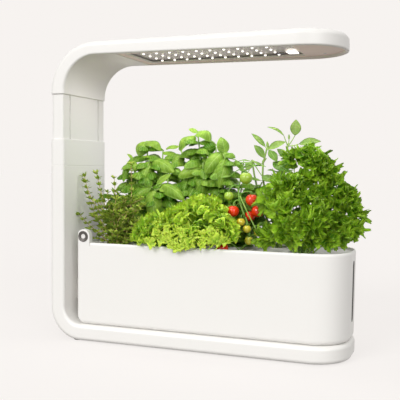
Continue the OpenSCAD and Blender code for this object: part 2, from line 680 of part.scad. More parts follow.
// [x, y, z] of the stem tips, and of the fruit with its radius, from the root of their plant
thyme_tips = [[-60, -5, 103], [-40, 7, 109], [-9, -7, 103], [-24, 11, 94], [-62, 3, 56], [17, -3, 91],
    [-60, -15, 77], [7, 13, 77], [24, -7, 49], [-30, -21, 61], [-8, 15, 47], [-46, -19, 37],
    [15, -23, 33], [-20, -13, 81]];
basil_left_tips = [[-30, 11, 149], [-35, 17, 119], [-9, 9, 139], [-11, 5, 91], [-27, 7, 71]];
basil_right_tips = [[-27, 11, 159], [-21, 5, 123], [7, 15, 137], [-1, 7, 93], [-23, 13, 71]];
sage_tips = [[23, 3, 165], [-15, -1, 157], [37, 7, 133], [-21, 7, 127], [7, -7, 113], [-9, 13, 101],
    [19, -3, 91], [-27, -3, 97]];
parsley_tips = [[4, 9, 133], [-14, -7, 123], [22, 21, 117], [-32, 1, 103], [40, 33, 101], [0, -17, 105],
    [56, 35, 75], [-20, 13, 87], [26, -7, 89], [61, 21, 51], [-40, -17, 69], [46, 57, 71], [10, 15, 79],
    [61, 45, 31], [-26, -23, 41], [22, -21, 43], [-44, 7, 55]];
tomatoes_at = [[7, 15, 102, 9], [-13, 13, 79, 6.5], [18, 13, 75, 8.5], [24, 15, 54, 8.5],
    [-9, 11, 56, 8.5], [9, 7, 33, 5.5], [14, 3, 19, 5.5], [24, -3, 31, 7], [0, -3, 45, 7],
    [-13, -23, 17, 8.5]];

module plant_thyme() {
    color("olivedrab")
    union() {
        translate(root(0)) cylinder(h = 8, r = 9, $fn = 7);
        for (i = [0:len(thyme_tips) - 1]) {
            a = root(0) + [5*cos(i*137), 5*sin(i*137), 6];
            b = root(0) + thyme_tips[i];
            c = (a + b)/2 + [0.08*(b[0] - a[0]), 0, 6];
            twig(a, c, 1.1);
            twig(c, b, 0.9);
            for (f = [0.4:0.2:1.01]) pair(f < 0.5 ? a + (c - a)*f*2 : c + (b - c)*(f*2 - 1), 450*f + i*40, 8, 5);
        }
    }
}
module shrub(k, tips, l, w, r_root) {
    union() {
        translate(root(k)) cylinder(h = 8, r = r_root, $fn = 7);
        for (i = [0:len(tips) - 1]) {
            a = root(k) + [4*cos(i*137), 4*sin(i*137), 6];
            b = root(k) + tips[i];
            c = a + (b - a)*0.5;
            twig(a, c, 2);
            twig(c, b, 1.6);
            for (s = [0:3]) cupped(towards(b, c, 12 + s), s*90 + i*35, 20 - 8*(s % 2), l, w);
            for (s = [0:1]) cupped(towards(b, c, 1 + s), s*170 + i*35 + 45, 48, 0.6*l, 0.6*w);
        }
    }
}
module plant_basil_left() { color("forestgreen") shrub(4, basil_left_tips, 35, 26, 6); }
module plant_basil_right() { color("forestgreen") shrub(5, basil_right_tips, 33, 26, 6); }
module plant_lettuce() {
    color("yellowgreen")
    union() {
        translate(root(1)) cylinder(h = 14, r = 8, $fn = 7);
        for (i = [0:20]) {
            a = i*137.5;
            pitch = 12 + 3.2*i;
            l = 50 - 0.4*i;
            p = root(1) + [2*cos(a), 2*sin(a), 8 + 0.2*i];
            translate(p) rotate([0, 0, a]) rotate([0, -pitch, 0]) {
                y = abs(sin(a))*cos(pitch) > 0.5 ? 26 : l;
                hull() linear_extrude(1.2) polygon([[0, -4], [0.5*y, -12], [0.9*y, -17], [y, -9], [1.06*y, 0],
                    [y, 9], [0.9*y, 17], [0.5*y, 12], [0, 4]]);
            }
        }
    }
}
module plant_tomato() {
    color("green")
    union() {
        translate(root(2)) cylinder(h = 8, r = 6, $fn = 7);
        vine = [for (v = [[0, 0, 6], [6, -3, 41], [-4, 5, 73], [4, 13, 97], [18, 15, 105], [28, 13, 95]]) root(2) + v];
        for (i = [0:4]) twig(vine[i], vine[i + 1], 2.2 - 0.2*i);
        for (k = [0:len(tomatoes_at) - 1]) {
            t = tomatoes_at[k];
            top = root(2) + [t[0], t[1], t[2] + t[3]];
            v = vine[t[2] > 65 ? 3 : t[2] > 40 ? 2 : 1] - [0, 0, 0.37*k + 0.2];
            translate(top) cylinder(h = 1.3, r1 = 0.7*t[3], r2 = 0.2*t[3], $fn = 5);
            twig(top + [0, 0, 0.4], top + [0.3, -1, 5], 1.2);
            twig(top + [0.3, -1, 4], v, 1.1);
        }
        for (i = [0:11]) {
            a = vine[1 + i % 3];
            leaf(towards(a, vine[2 + i % 3], 2 + 5*floor(i/3)), i*77 + 20, 14, 19, 9);
        }
    }
}
module tomatoes() {
    color("red") union() for (t = tomatoes_at) translate(root(2) + [t[0], t[1], t[2]]) sphere(t[3]);
}
module plant_sage() {
    color("darkseagreen")
    union() {
        translate(root(6)) cylinder(h = 8, r = 6, $fn = 7);
        for (i = [0:len(sage_tips) - 1]) {
            a = root(6) + [4*cos(i*137), 4*sin(i*137), 6];
            b = root(6) + sage_tips[i];
            twig(a, b, 1.8);
            leaf(b, i*97, 72, 24, 15);
            for (s = [0:2]) leaf(towards(b, a, 3 + 9*s), s*120 + i*61, 38 - 10*s, 24, 12);
        }
    }
}
module plant_parsley() {
    color("green")
    union() {
        translate(root(3)) cylinder(h = 10, r = 8, $fn = 7);
        for (i = [0:len(parsley_tips) - 1]) {
            a = root(3) + [5*cos(i*137), 5*sin(i*137), 8];
            b = root(3) + parsley_tips[i];
            twig(a, b - [0, 0, 4], 1.2);
            tuft(b, 9, i*17);
            for (s = [0:1]) tuft(b + [8*cos(s*160 + i*50), 8*sin(s*160 + i*50), -7], 7.5, s*23 + i*31);
        }
    }
}

base_shell();
bottom_cover();
feet();
collar();
dock_block();
dock_contacts();
dc_socket();
control_board();
base_leads();
coil_clip();
lamp_coil_lead();
mast();
mast_shoe();
arm_shell();
arm_underside();
arm_screws();
led_board();
leds();
led_lens();
heat_spreader();
lamp_lead();
tank_shell();
level_window();
float_guide();
float();
button_bezel();
button_cap();
button_switch();
contact_plate();
pump_housing();
pump_cover();
pump_rotor();
pump_riser();
tank_leads();
deck();
fill_flap();
flap_pin();
basket(0);  // basket_thyme
basket(1);  // basket_lettuce
basket(2);  // basket_tomato
basket(3);  // basket_parsley
basket(4);  // basket_basil_left
basket(5);  // basket_basil_right
basket(6);  // basket_sage
sponge(0);  // sponge_thyme
sponge(1);  // sponge_lettuce
sponge(2);  // sponge_tomato
sponge(3);  // sponge_parsley
sponge(4);  // sponge_basil_left
sponge(5);  // sponge_basil_right
sponge(6);  // sponge_sage
plant_thyme();
plant_lettuce();
plant_tomato();
plant_parsley();
plant_basil_left();
plant_basil_right();
plant_sage();
tomatoes();
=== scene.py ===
import math

import bmesh
import bpy
import numpy as np
from mathutils import Matrix, Vector


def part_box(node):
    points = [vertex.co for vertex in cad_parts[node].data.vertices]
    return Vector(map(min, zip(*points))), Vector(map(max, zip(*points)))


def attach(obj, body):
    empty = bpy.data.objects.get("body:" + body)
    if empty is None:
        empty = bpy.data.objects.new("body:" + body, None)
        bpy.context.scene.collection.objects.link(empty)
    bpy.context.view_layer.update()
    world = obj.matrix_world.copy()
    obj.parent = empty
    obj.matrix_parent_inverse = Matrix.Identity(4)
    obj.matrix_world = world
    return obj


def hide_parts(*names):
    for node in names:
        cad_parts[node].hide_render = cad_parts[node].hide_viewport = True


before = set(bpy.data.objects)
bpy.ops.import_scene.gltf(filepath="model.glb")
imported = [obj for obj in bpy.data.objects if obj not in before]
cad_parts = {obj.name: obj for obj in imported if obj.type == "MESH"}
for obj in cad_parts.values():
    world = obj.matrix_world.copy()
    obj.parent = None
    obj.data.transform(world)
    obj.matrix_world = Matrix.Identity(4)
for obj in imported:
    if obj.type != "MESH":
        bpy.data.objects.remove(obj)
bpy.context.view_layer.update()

# ---- Camera and units ----
# The picture's own camera: its place, its turn and its focal length in pixels of the 400-pixel frame.
MM = 0.001
CAMERA_PLACE = (0.3610, -0.9503, 0.25125)
CAMERA_YAW = 21.03
CAMERA_PITCH = -2.54
CAMERA_ROLL = 0.433
FOCAL_PX = 712.4
FRAME_PX = 400
SENSOR_MM = 36
camera = bpy.data.objects.new("camera", bpy.data.cameras.new("camera"))
camera.data.sensor_width = SENSOR_MM
camera.data.lens = FOCAL_PX / FRAME_PX * SENSOR_MM
camera.location = CAMERA_PLACE
camera_turn = (Matrix.Rotation(math.radians(CAMERA_YAW), 4, "Z")
               @ Matrix.Rotation(math.radians(90 + CAMERA_PITCH), 4, "X")
               @ Matrix.Rotation(math.radians(CAMERA_ROLL), 4, "Z"))
camera.rotation_euler = camera_turn.to_euler()
bpy.context.scene.collection.objects.link(camera)
bpy.context.scene.camera = camera

# ---- Base moulding: slab, low bend and column ----
# One hollow ABS moulding with softly rounded long edges, a round free end and a lid underneath.
# Its sizes come from the CAD boxes; the radii and walls are named here in millimetres.
BASE_WALL = 2.4
COLUMN_WALL = 1.5
LOW_BEND_R = 48
END_R = 50
BASE_EDGE_R = 6
COLUMN_EDGE_R = 8
COLUMN_INNER_R = 4
SEAM = 0.5
LID_FROM_END = 62
LID_FROM_SIDE = 15.5
LID_STEP = 3
COVER_DEEP = 1.4
FRAME_T = 23.8
LID_CORNER_R = 14
LID_END_R = 32
LID_CORNER_SHARE = 2 / 3
INLET_Y = 30
INLET_Z = 70
INLET_R = 4
LEAD_HOLE_R = 3
BORE_DEEP = 3
# How far a cutting tool runs past the face that it cuts, and the gap under which lofted points are one.
PAST = 1
WELD = 0.01
# Steps round small and large corners, the bends, the slab's end and a rod.
SMALL_ARC = 8
LARGE_ARC = 24
BEND_STEPS = 32
END_STEPS = 24
ROD_SIDES = 48
# Shared by the finishes: the length of a slow drift in colour and the height of a fine grain.
DRIFT_MM = 40
GRAIN_DEEP = 0.05


def extent(node):
    """Lowest and highest corner of a CAD node, in millimetres."""
    return [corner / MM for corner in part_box(node)]


base_lo, base_hi = extent("base_shell")
left_x = base_lo.x
right_x = base_hi.x
depth = base_hi.y - base_lo.y
base_z = extent("feet")[1].z
column_top = base_hi.z
base_top = base_z + FRAME_T
column_in = left_x + FRAME_T
low_centre = np.array([left_x + LOW_BEND_R, base_z + LOW_BEND_R])


def edge_point(depth, corner, r, turn, dx):
    """Half depth, and depth below the face, at a turn round a long edge, dx past the plan corner's centre."""
    reach = corner - r + r * math.cos(turn)
    flat = depth / 2 - corner
    if reach > dx:
        return flat + math.sqrt(reach**2 - dx**2), r - r * math.sin(turn)
    return flat, r - math.sqrt(max(0.0, r**2 - (dx - corner + r) ** 2))


def ring(outer, inner, depth, corner, r_outer, r_inner, dx=0.0, steps=8):
    """Closed loop round a slab whose two faces pass through the points outer and inner, given as (x, z)."""
    outer, inner = np.array(outer, float), np.array(inner, float)
    thick = np.linalg.norm(outer - inner)
    across = (outer - inner) / thick
    quarter = [math.pi / 2 * k / steps for k in range(steps + 1)]
    far = [edge_point(depth, corner, r_outer, q, dx) for q in reversed(quarter)]
    near = [edge_point(depth, corner, r_inner, q, dx) for q in quarter]
    back = [(y, thick - below) for y, below in far] + near
    both = back + [(-y, s) for y, s in reversed(back)]
    return [(inner[0] + across[0] * s, y, inner[1] + across[1] * s) for y, s in both]


def loft(loops, capped=True):
    """Skins equal closed loops into a closed solid; without caps, the last loop is the first again."""
    bm = bmesh.new()
    rows = [[bm.verts.new(Vector(p) * MM) for p in loop] for loop in loops]
    for low, high in zip(rows, rows[1:]):
        for k in range(len(low)):
            bm.faces.new((low[k - 1], low[k], high[k], high[k - 1]))
    if capped:
        bm.faces.new(rows[0])
        bm.faces.new(rows[-1])
    bmesh.ops.remove_doubles(bm, verts=bm.verts, dist=WELD * MM)
    bmesh.ops.recalc_face_normals(bm, faces=bm.faces)
    return bm


def as_object(name, bm):
    """A linked object that holds the mesh."""
    mesh = bpy.data.meshes.new(name)
    bm.to_mesh(mesh)
    bm.free()
    made = bpy.data.objects.new(name, mesh)
    bpy.context.scene.collection.objects.link(made)
    return made


def apply_modifiers(made):
    """Swaps the object's mesh for what its modifiers make of it."""
    graph = bpy.context.evaluated_depsgraph_get()
    mesh = bpy.data.meshes.new_from_object(made.evaluated_get(graph))
    made.modifiers.clear()
    made.data = mesh
    mesh.name = made.name


def combine(made, operation, *tools):
    """Cuts the tools out of the object, joins them to it, or keeps only what they share with it."""
    for tool in tools:
        change = made.modifiers.new("combine", "BOOLEAN")
        change.operation = operation
        change.solver = "EXACT"
        change.object = tool
    apply_modifiers(made)
    for tool in tools:
        bpy.data.objects.remove(tool)
    return made


def soften(made, degrees=30):
    """Smooth shading up to an angle, with large flat faces kept flat."""
    bm = bmesh.new()
    bm.from_mesh(made.data)
    for e in bm.edges:
        e.smooth = len(e.link_faces) == 2 and e.calc_face_angle() < math.radians(degrees)
    for f in bm.faces:
        f.smooth = True
    bm.to_mesh(made.data)
    bm.free()
    flat = made.modifiers.new("flat faces", "WEIGHTED_NORMAL")
    flat.keep_sharp = True
    apply_modifiers(made)


def prism(outline, z, height):
    """A solid with an upright wall over a plan outline."""
    return as_object("tool", loft([[(x, y, level) for x, y in outline] for level in (z, z + height)]))


def rod(start, end, r):
    """A round bar between two points."""
    start, end = Vector(start), Vector(end)
    turn = (end - start).to_track_quat("Z", "Y")
    angles = np.arange(ROD_SIDES) * math.tau / ROD_SIDES
    circle = [turn @ Vector((r * math.cos(a), r * math.sin(a), 0)) for a in angles]
    return as_object("tool", loft([[start + p for p in circle], [end + p for p in circle]]))


def arc(cx, cy, r, start, end, steps):
    """Points on an arc, its angles in degrees."""
    turns = np.radians(np.linspace(start, end, steps + 1))
    return [(cx + r * math.cos(a), cy + r * math.sin(a)) for a in turns]


def plan(x0, x1, y, r_left, r_right):
    """Outline with small corners on the left and large ones on the right."""
    return (arc(x1 - r_right, y - r_right, r_right, 0, 90, LARGE_ARC)
            + arc(x0 + r_left, y - r_left, r_left, 90, 180, SMALL_ARC)
            + arc(x0 + r_left, r_left - y, r_left, 180, 270, SMALL_ARC)
            + arc(x1 - r_right, r_right - y, r_right, 270, 360, LARGE_ARC))


def lid_plan(shrink):
    """Outline of the lid in the base's underside."""
    x = right_x - LID_FROM_END - shrink
    rounder = shrink * LID_CORNER_SHARE
    return plan(-x, x, depth / 2 - LID_FROM_SIDE - shrink, LID_CORNER_R - rounder, LID_END_R - rounder)


def frame_loops(shrink, slab_shrink, top):
    """Loops from the column's top, round the low bend and along the slab to its round end."""
    loops = [ring((left_x + shrink, top), (column_in - shrink, top), depth - 2 * shrink, END_R,
                  COLUMN_EDGE_R - shrink, COLUMN_INNER_R - shrink)]
    for t in np.linspace(0, 1, BEND_STEPS + 1):
        turn = math.pi * (1 + t / 2)
        way = np.array([math.cos(turn), math.sin(turn)])
        s = shrink + (slab_shrink - shrink) * t
        r, r_in = (start + (BASE_EDGE_R - start) * t - s for start in (COLUMN_EDGE_R, COLUMN_INNER_R))
        loops.append(ring(low_centre + (LOW_BEND_R - s) * way, low_centre + (LOW_BEND_R - FRAME_T + s) * way,
                          depth - 2 * s, END_R - s, r, r_in))
    corner = END_R - slab_shrink
    for t in np.linspace(0, math.pi / 2, END_STEPS + 1):
        dx = corner * math.sin(t)
        x = right_x - END_R + dx
        loops.append(ring((x, base_z + slab_shrink), (x, base_top - slab_shrink), depth - 2 * slab_shrink,
                          corner, BASE_EDGE_R - slab_shrink, BASE_EDGE_R - slab_shrink, dx))
    return loops


def column_loop(z, shrink):
    """Level loop of the column's section, shrunk."""
    return ring((left_x + shrink, z), (column_in - shrink, z), depth - 2 * shrink, END_R,
                COLUMN_EDGE_R - shrink, COLUMN_INNER_R - shrink)


def linear(code):
    """A shader colour from an sRGB hex code."""
    parts = [int(code[k:k + 2], 16) / 255 for k in (1, 3, 5)]
    return [*(c / 12.92 if c <= 0.04045 else ((c + 0.055) / 1.055) ** 2.4 for c in parts), 1.0]


def material(name, **constants):
    """A new material, its tree and its shader, with the shader's constants set."""
    made = bpy.data.materials.new(name)
    made.use_nodes = True
    surface = made.node_tree.nodes["Principled BSDF"]
    for socket, value in constants.items():
        surface.inputs[socket.replace("_", " ")].default_value = value
    return made, made.node_tree, surface


def add(tree, kind, links=(), **settings):
    """A node with its settings, and with its sockets, by name or number, linked or given a value."""
    made = tree.nodes.new(kind)
    for name, value in settings.items():
        setattr(made, name, value)
    for key, value in dict(links).items():
        if isinstance(value, bpy.types.NodeSocket):
            tree.links.new(value, made.inputs[key])
        else:
            made.inputs[key].default_value = value
    return made


def moulded(name, colour, roughness, grain_mm, grain=0.12, shade=0.94):
    """A moulded plastic: one colour that drifts a little, over the fine grain of the mould's steel."""
    made, tree, surface = material(name, Roughness=roughness, IOR=1.53)
    place = add(tree, "ShaderNodeTexCoord").outputs["Object"]
    drift = add(tree, "ShaderNodeTexNoise", {"Vector": place, "Scale": 1 / (DRIFT_MM * MM), "Detail": 2.0})
    light = linear(colour)
    dark = [c * shade for c in light[:3]] + [1.0]
    mixed = add(tree, "ShaderNodeMix", {0: drift.outputs[0], 6: dark, 7: light}, data_type="RGBA")
    tree.links.new(mixed.outputs[2], surface.inputs["Base Color"])
    fine = add(tree, "ShaderNodeTexNoise", {"Vector": place, "Scale": 1 / (grain_mm * MM), "Detail": 3.0})
    bump = add(tree, "ShaderNodeBump", {
        "Strength": grain, "Distance": GRAIN_DEEP * MM, "Height": fine.outputs[0]})
    tree.links.new(bump.outputs[0], surface.inputs["Normal"])
    return made


# White ABS, polished to a satin gloss: bright, a touch warm, with a soft wide highlight along every edge.
white_abs = moulded("white_abs", "#ECEAE6", 0.4, 1.2, 0.06, 0.985)


def finish_piece(made, finish, body, slot, *nodes):
    """Gives a piece its material, its body and the CAD nodes that it stands for; the slot is not used."""
    made.data.materials.clear()
    made.data.materials.append(finish)
    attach(made, body)
    if nodes:
        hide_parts(*nodes)
    return made


dock_lo, dock_hi = extent("dock_block")
lead_hole = ((dock_lo.y + dock_hi.y) / 2, (dock_lo.z + dock_hi.z) / 2)
outer_loops = frame_loops(0, 0, column_top - SEAM)
base_shell = as_object("base_moulding", loft([column_loop(column_top, SEAM)] + outer_loops))
combine(base_shell, "DIFFERENCE",
        as_object("tool", loft(frame_loops(COLUMN_WALL, BASE_WALL, column_top + PAST))),
        prism(lid_plan(LID_STEP), base_z - PAST, BASE_WALL + 2 * PAST),
        prism(lid_plan(0), base_z - PAST, PAST + COVER_DEEP),
        rod((left_x - PAST, INLET_Y, INLET_Z), (left_x + BORE_DEEP, INLET_Y, INLET_Z), INLET_R),
        rod((column_in - BORE_DEEP, *lead_hole), (column_in + PAST, *lead_hole), LEAD_HOLE_R))
soften(base_shell)
finish_piece(base_shell, white_abs, "frame", "white_gloss", "base_shell")

# ---- Collar ----
# A short ABS sleeve glued on the column's top, through which the mast slides.
# A fine chamfer below and a small round above draw the thin seam lines.
# How far under the top, and how far in, the points of the upper round lie.
COLLAR_ROUND = ((1, 0), (0.3, 0.3), (0, 1))
collar_lo, collar_hi = extent("collar")
collar = as_object("collar_sleeve", loft(
    [column_loop(collar_lo.z, SEAM), column_loop(collar_lo.z + SEAM, 0)]
    + [column_loop(collar_hi.z - down, inward) for down, inward in COLLAR_ROUND]))
combine(collar, "DIFFERENCE", as_object("tool", loft(
    [column_loop(z, COLUMN_WALL) for z in (collar_lo.z - PAST, collar_hi.z + PAST)])))
soften(collar)
finish_piece(collar, white_abs, "frame", "white_gloss", "collar")

# ---- Mast ----
# Extruded ABS, a little smaller than the collar, with two guide grooves in the face over the tank.
# The grooves are deep enough to read as dark lines.
MAST_IN = 1.9
GROOVE_Y = 41.5
GROOVE_W = 3.2
GROOVE_D = 2.8
MAST_WALL = 1.8
MAST_SIDE_WALL = 2
GROOVED_WALL = 3.4
MAST_CAP = 3
CORE_EDGE_R = (3, 2)
mast_lo, mast_hi = extent("mast")
mast = as_object("mast_tube", loft([column_loop(mast_lo.z, MAST_IN), column_loop(mast_hi.z, MAST_IN)]))


def mast_core(z):
    """Level loop of the hollow in the mast, thicker on the grooved side."""
    return ring((left_x + MAST_IN + MAST_WALL, z), (column_in - MAST_IN - GROOVED_WALL, z),
                depth - 2 * (MAST_IN + MAST_SIDE_WALL), END_R, *CORE_EDGE_R)


def block(low, high):
    """A box between two corners."""
    (x0, y0, z0), (x1, y1, z1) = low, high
    outline = [(x0, y0), (x1, y0), (x1, y1), (x0, y1)]
    return prism(outline, z0, z1 - z0)


grooves = [block((column_in - MAST_IN - GROOVE_D, s * GROOVE_Y - GROOVE_W / 2, mast_lo.z - PAST),
                 (column_in, s * GROOVE_Y + GROOVE_W / 2, mast_hi.z + PAST)) for s in (-1, 1)]
core = as_object("tool", loft([mast_core(mast_lo.z - PAST), mast_core(mast_hi.z - MAST_CAP)]))
combine(mast, "DIFFERENCE", core, *grooves)
soften(mast)
finish_piece(mast, white_abs, "lamp", "mast_white", "mast")

# ---- Lamp arm ----
# The top bend and the arm: one hollow ABS moulding with a round tip. A recess with a sloped wall opens
# underneath from the window to the tip, and six posts inside take the cover's screws.
TOP_BEND_R = 70
TOP_INNER_R = 50
ARM_T = 19
ARM_WALL = 2.2
ARM_RIM = 5
RIM_DROP = 3.5
ROOT_DROP = 0.6
ARM_EDGE_R = 8
UNDER_R = 4
UNDER_R_TIP = 2.6
COVER_T = 2
COVER_FROM_BEND = 14
COVER_CORNER_R = 6
POCKET_OVER = 1.2
RECESS_LEAD = 7
RECESS_CORNER_R = 3
# How far the recess's wall stands inside the cover's edge: under the rim, at the rim and at the cover.
RECESS_FLARE = (-2.2, -1.5, 1)
TIP_INSET = 4
TIP_STEPS = 28
HOLLOW_UP = 2.6
FLOOR_LEAD = 6
FLOOR_CORNER_R = 1
TOUCH = 0.05
POST_R = 3.4
POST_FROM_ROOT = 12
POST_FROM_TIP = 38
POST_FROM_SIDE = 9.6
TIP_POST_FROM_SIDE = 26.5
SCREW_R = 1.2
SCREW_DEEP = 10
arm_lo, arm_hi = extent("arm_shell")
arm_z = arm_hi.z - ARM_T
rim_under = arm_z - RIM_DROP
arm_x = arm_hi.x
arm_end_r = depth / 2 - TIP_INSET
arm_from = column_in + TOP_INNER_R + COVER_FROM_BEND
outer_centre = np.array([left_x + TOP_BEND_R, arm_hi.z - TOP_BEND_R])
inner_centre = np.array([column_in + TOP_INNER_R, arm_z - ROOT_DROP - TOP_INNER_R])
lens_lo, lens_hi = extent("led_lens")


def arm_loops(shrink, start, foot=0.0):
    """Loops from the seam on the mast, round the top bend and along the arm to its round tip."""
    corner = arm_end_r - shrink
    section = depth - 2 * shrink
    loops = [ring((left_x + shrink + foot, start), (column_in - shrink - foot, start), section - 2 * foot,
                  corner, ARM_EDGE_R - shrink - foot, UNDER_R - shrink - foot)]
    if foot:
        loops.append(ring((left_x + shrink, start + foot), (column_in - shrink, start + foot), section, corner,
                          ARM_EDGE_R - shrink, UNDER_R - shrink))
    for t in np.linspace(0, 1, BEND_STEPS + 1):
        turn = math.pi * (1 - t / 2)
        way = np.array([math.cos(turn), math.sin(turn)])
        under = UNDER_R + (UNDER_R_TIP - UNDER_R) * t - shrink
        loops.append(ring(outer_centre + (TOP_BEND_R - shrink) * way,
                          inner_centre + (TOP_INNER_R + shrink) * way,
                          section, corner, ARM_EDGE_R - shrink, under))
    for t in np.linspace(0, math.pi / 2, TIP_STEPS + 1):
        dx = corner * math.sin(t)
        x = arm_x - arm_end_r + dx
        loops.append(ring((x, arm_hi.z - shrink), (x, rim_under + shrink), section, corner, ARM_EDGE_R - shrink,
                          UNDER_R_TIP - shrink, dx))
    return loops


def arm_plan(shrink):
    """Outline of the arm's underside cover."""
    return plan(arm_from + shrink, arm_x - ARM_RIM - shrink, depth / 2 - ARM_RIM - shrink, COVER_CORNER_R,
                arm_end_r - ARM_RIM - shrink)


def lamp_plan(shrink):
    """Outline of the recess under the cover, from just before the window to the tip."""
    return plan(lens_lo.x - RECESS_LEAD + shrink, arm_x - ARM_RIM - shrink, depth / 2 - ARM_RIM - shrink,
                RECESS_CORNER_R, arm_end_r - ARM_RIM - shrink)


def at_posts(low, high, r):
    """A rod at each of the cover's six posts."""
    return [rod((x, y, low), (x, y, high), r) for x, y in posts]


post_rows = ((arm_from + POST_FROM_ROOT, POST_FROM_SIDE), ((arm_from + arm_x) / 2, POST_FROM_SIDE),
             (arm_x - POST_FROM_TIP, TIP_POST_FROM_SIDE))
posts = [(x, s * (depth / 2 - inset)) for x, inset in post_rows for s in (-1, 1)]
arm = as_object("arm_moulding", loft(arm_loops(0, arm_lo.z, SEAM)))
hollow = as_object("tool", loft(arm_loops(ARM_WALL, arm_lo.z + HOLLOW_UP)))
arm_floor = plan(arm_from - FLOOR_LEAD, arm_x, depth / 2, FLOOR_CORNER_R, FLOOR_CORNER_R)
combine(hollow, "DIFFERENCE", prism(arm_floor, rim_under, RIM_DROP))
pocket = prism(arm_plan(0), arm_z - TOUCH, ARM_WALL + POCKET_OVER)
recess_levels = zip((rim_under - PAST, rim_under, arm_z + 2 * TOUCH), RECESS_FLARE)
recess = as_object("recess", loft([[(x, y, z) for x, y in lamp_plan(shrink)] for z, shrink in recess_levels]))
combine(hollow, "DIFFERENCE", *at_posts(arm_z - PAST, arm_hi.z + PAST, POST_R))
combine(pocket, "DIFFERENCE", *at_posts(arm_z + COVER_T, arm_hi.z + PAST, POST_R))
combine(arm, "DIFFERENCE", hollow, pocket, recess, *at_posts(arm_z, arm_z + SCREW_DEEP, SCREW_R))
soften(arm)
finish_piece(arm, white_abs, "lamp", "white_gloss", "arm_shell")

# ---- Tank ----
# A deep ABS tub that stands on the slab: rounded underneath, drafted at its round free end, its rim
# rolled over outside. An ear on the rim carries the button, and a slot in the end takes the level window.
TANK_H = 118
TANK_WALL = 2.5
TANK_DRAFT = 1.6
TANK_END_R = 46
TANK_CORNER_R = 6
TANK_BOTTOM_R = 6
TANK_LEFT_R = 13
RIM_ROLL = 4
RIM_IN = 2.1
LEDGE = 5
LEDGE_T = 2
LEDGE_FOOT = 5
RIM_FLAT = 0.4
RIM_STEPS = 8
FOOT_STEPS = 12
LEAST_R = 0.6
EAR_W = 20.4
EAR_T = 10
EAR_FROM_END = 0.9
EAR_DOWN = 22
EAR_EDGE = 1.2
# Trimming the ear to the tank's outline: where the band starts over the tank's foot, and how high it is.
EAR_BAND = (60, 120)
BUTTON_BORE_R = 6
BUTTON_BORE_DEEP = 5.6
SWITCH_HALF = 3.7
SWITCH_FROM = 5.5
SWITCH_TO = 11.5
NOTCH_W = 0.9
NOTCH_HALF_H = 4.5
WINDOW_W = 12
WINDOW_H = 82
WINDOW_MID = 64
SLOT_DEEP = 8
SLOT_PAST = 2
PLATE_DEEP = 5
tank_lo, tank_hi = extent("tank_shell")
tank_x = tank_lo.x
tank_y = tank_hi.y
tank_z = tank_lo.z
rim_z = tank_z + TANK_H
seat_z = extent("deck")[0].z
ear_x = tank_x + EAR_FROM_END + EAR_W / 2
ear_z = tank_hi.z - EAR_W / 2


def tank_loop(inset, z, low=0.0, low_left=0.0):
    """Level loop of the tank at a height over its underside, shrunk by its wall and by its foot's round."""
    shrink = inset + low
    outline = plan(tank_x + inset + low_left, right_x - TANK_DRAFT * (1 - z / TANK_H) - shrink, tank_y - shrink,
                   max(TANK_CORNER_R - shrink, LEAST_R), TANK_END_R - shrink)
    return [(x, y, tank_z + z) for x, y in outline]


def tank_foot(inset):
    """Loops round the foot of the tank, with a larger radius beside the column."""
    bottom_r, left_r = TANK_BOTTOM_R - inset, TANK_LEFT_R - inset
    loops = []
    for q in np.linspace(0, math.pi / 2, FOOT_STEPS + 1):
        z = left_r * (1 - math.cos(q))
        low = bottom_r - math.sqrt(bottom_r**2 - (bottom_r - z) ** 2) if z < bottom_r else 0
        loops.append(tank_loop(inset, z + inset, low, left_r * (1 - math.sin(q))))
    return loops


ledge_z = seat_z - tank_z
rim = [tank_loop(RIM_IN * (1 - math.cos(q)), TANK_H - RIM_ROLL * (1 - math.sin(q)))
       for q in np.linspace(0, math.pi / 2, RIM_STEPS + 1)]
inside = [tank_loop(inset, z) for inset, z in (
    (TANK_WALL, TANK_H - RIM_FLAT), (TANK_WALL, ledge_z), (LEDGE, ledge_z), (LEDGE, ledge_z - LEDGE_T),
    (TANK_WALL, ledge_z - LEDGE_FOOT))]
tank = as_object("tank_tub", loft(tank_foot(0) + rim + inside + tank_foot(TANK_WALL)[::-1]))
ear_outline = [(ear_x + s * EAR_W / 2, seat_z - EAR_DOWN) for s in (-1, 1)] + arc(
    ear_x, ear_z, EAR_W / 2, 0, 180, BEND_STEPS)
ear = as_object("tool", loft([[(x, y, z) for x, z in ear_outline] for y in (-tank_y, EAR_T - tank_y)]))
corners = ear.modifiers.new("ear edges", "BEVEL")
corners.width = EAR_EDGE * MM
corners.segments = 4
corners.limit_method = "ANGLE"
apply_modifiers(ear)
ear_from, ear_high = EAR_BAND
combine(ear, "INTERSECT", prism([(x, y) for x, y, _ in tank_loop(0, TANK_H)], tank_z + ear_from, ear_high))
combine(tank, "UNION", ear)
window_mid = tank_z + WINDOW_MID
slot_reach = (WINDOW_H - WINDOW_W) / 2
slot_outline = (arc(0, window_mid + slot_reach, WINDOW_W / 2, 0, 180, LARGE_ARC)
                + arc(0, window_mid - slot_reach, WINDOW_W / 2, 180, 360, LARGE_ARC))
plate_lo, plate_hi = extent("contact_plate")
notch_x = ear_x + EAR_W / 2
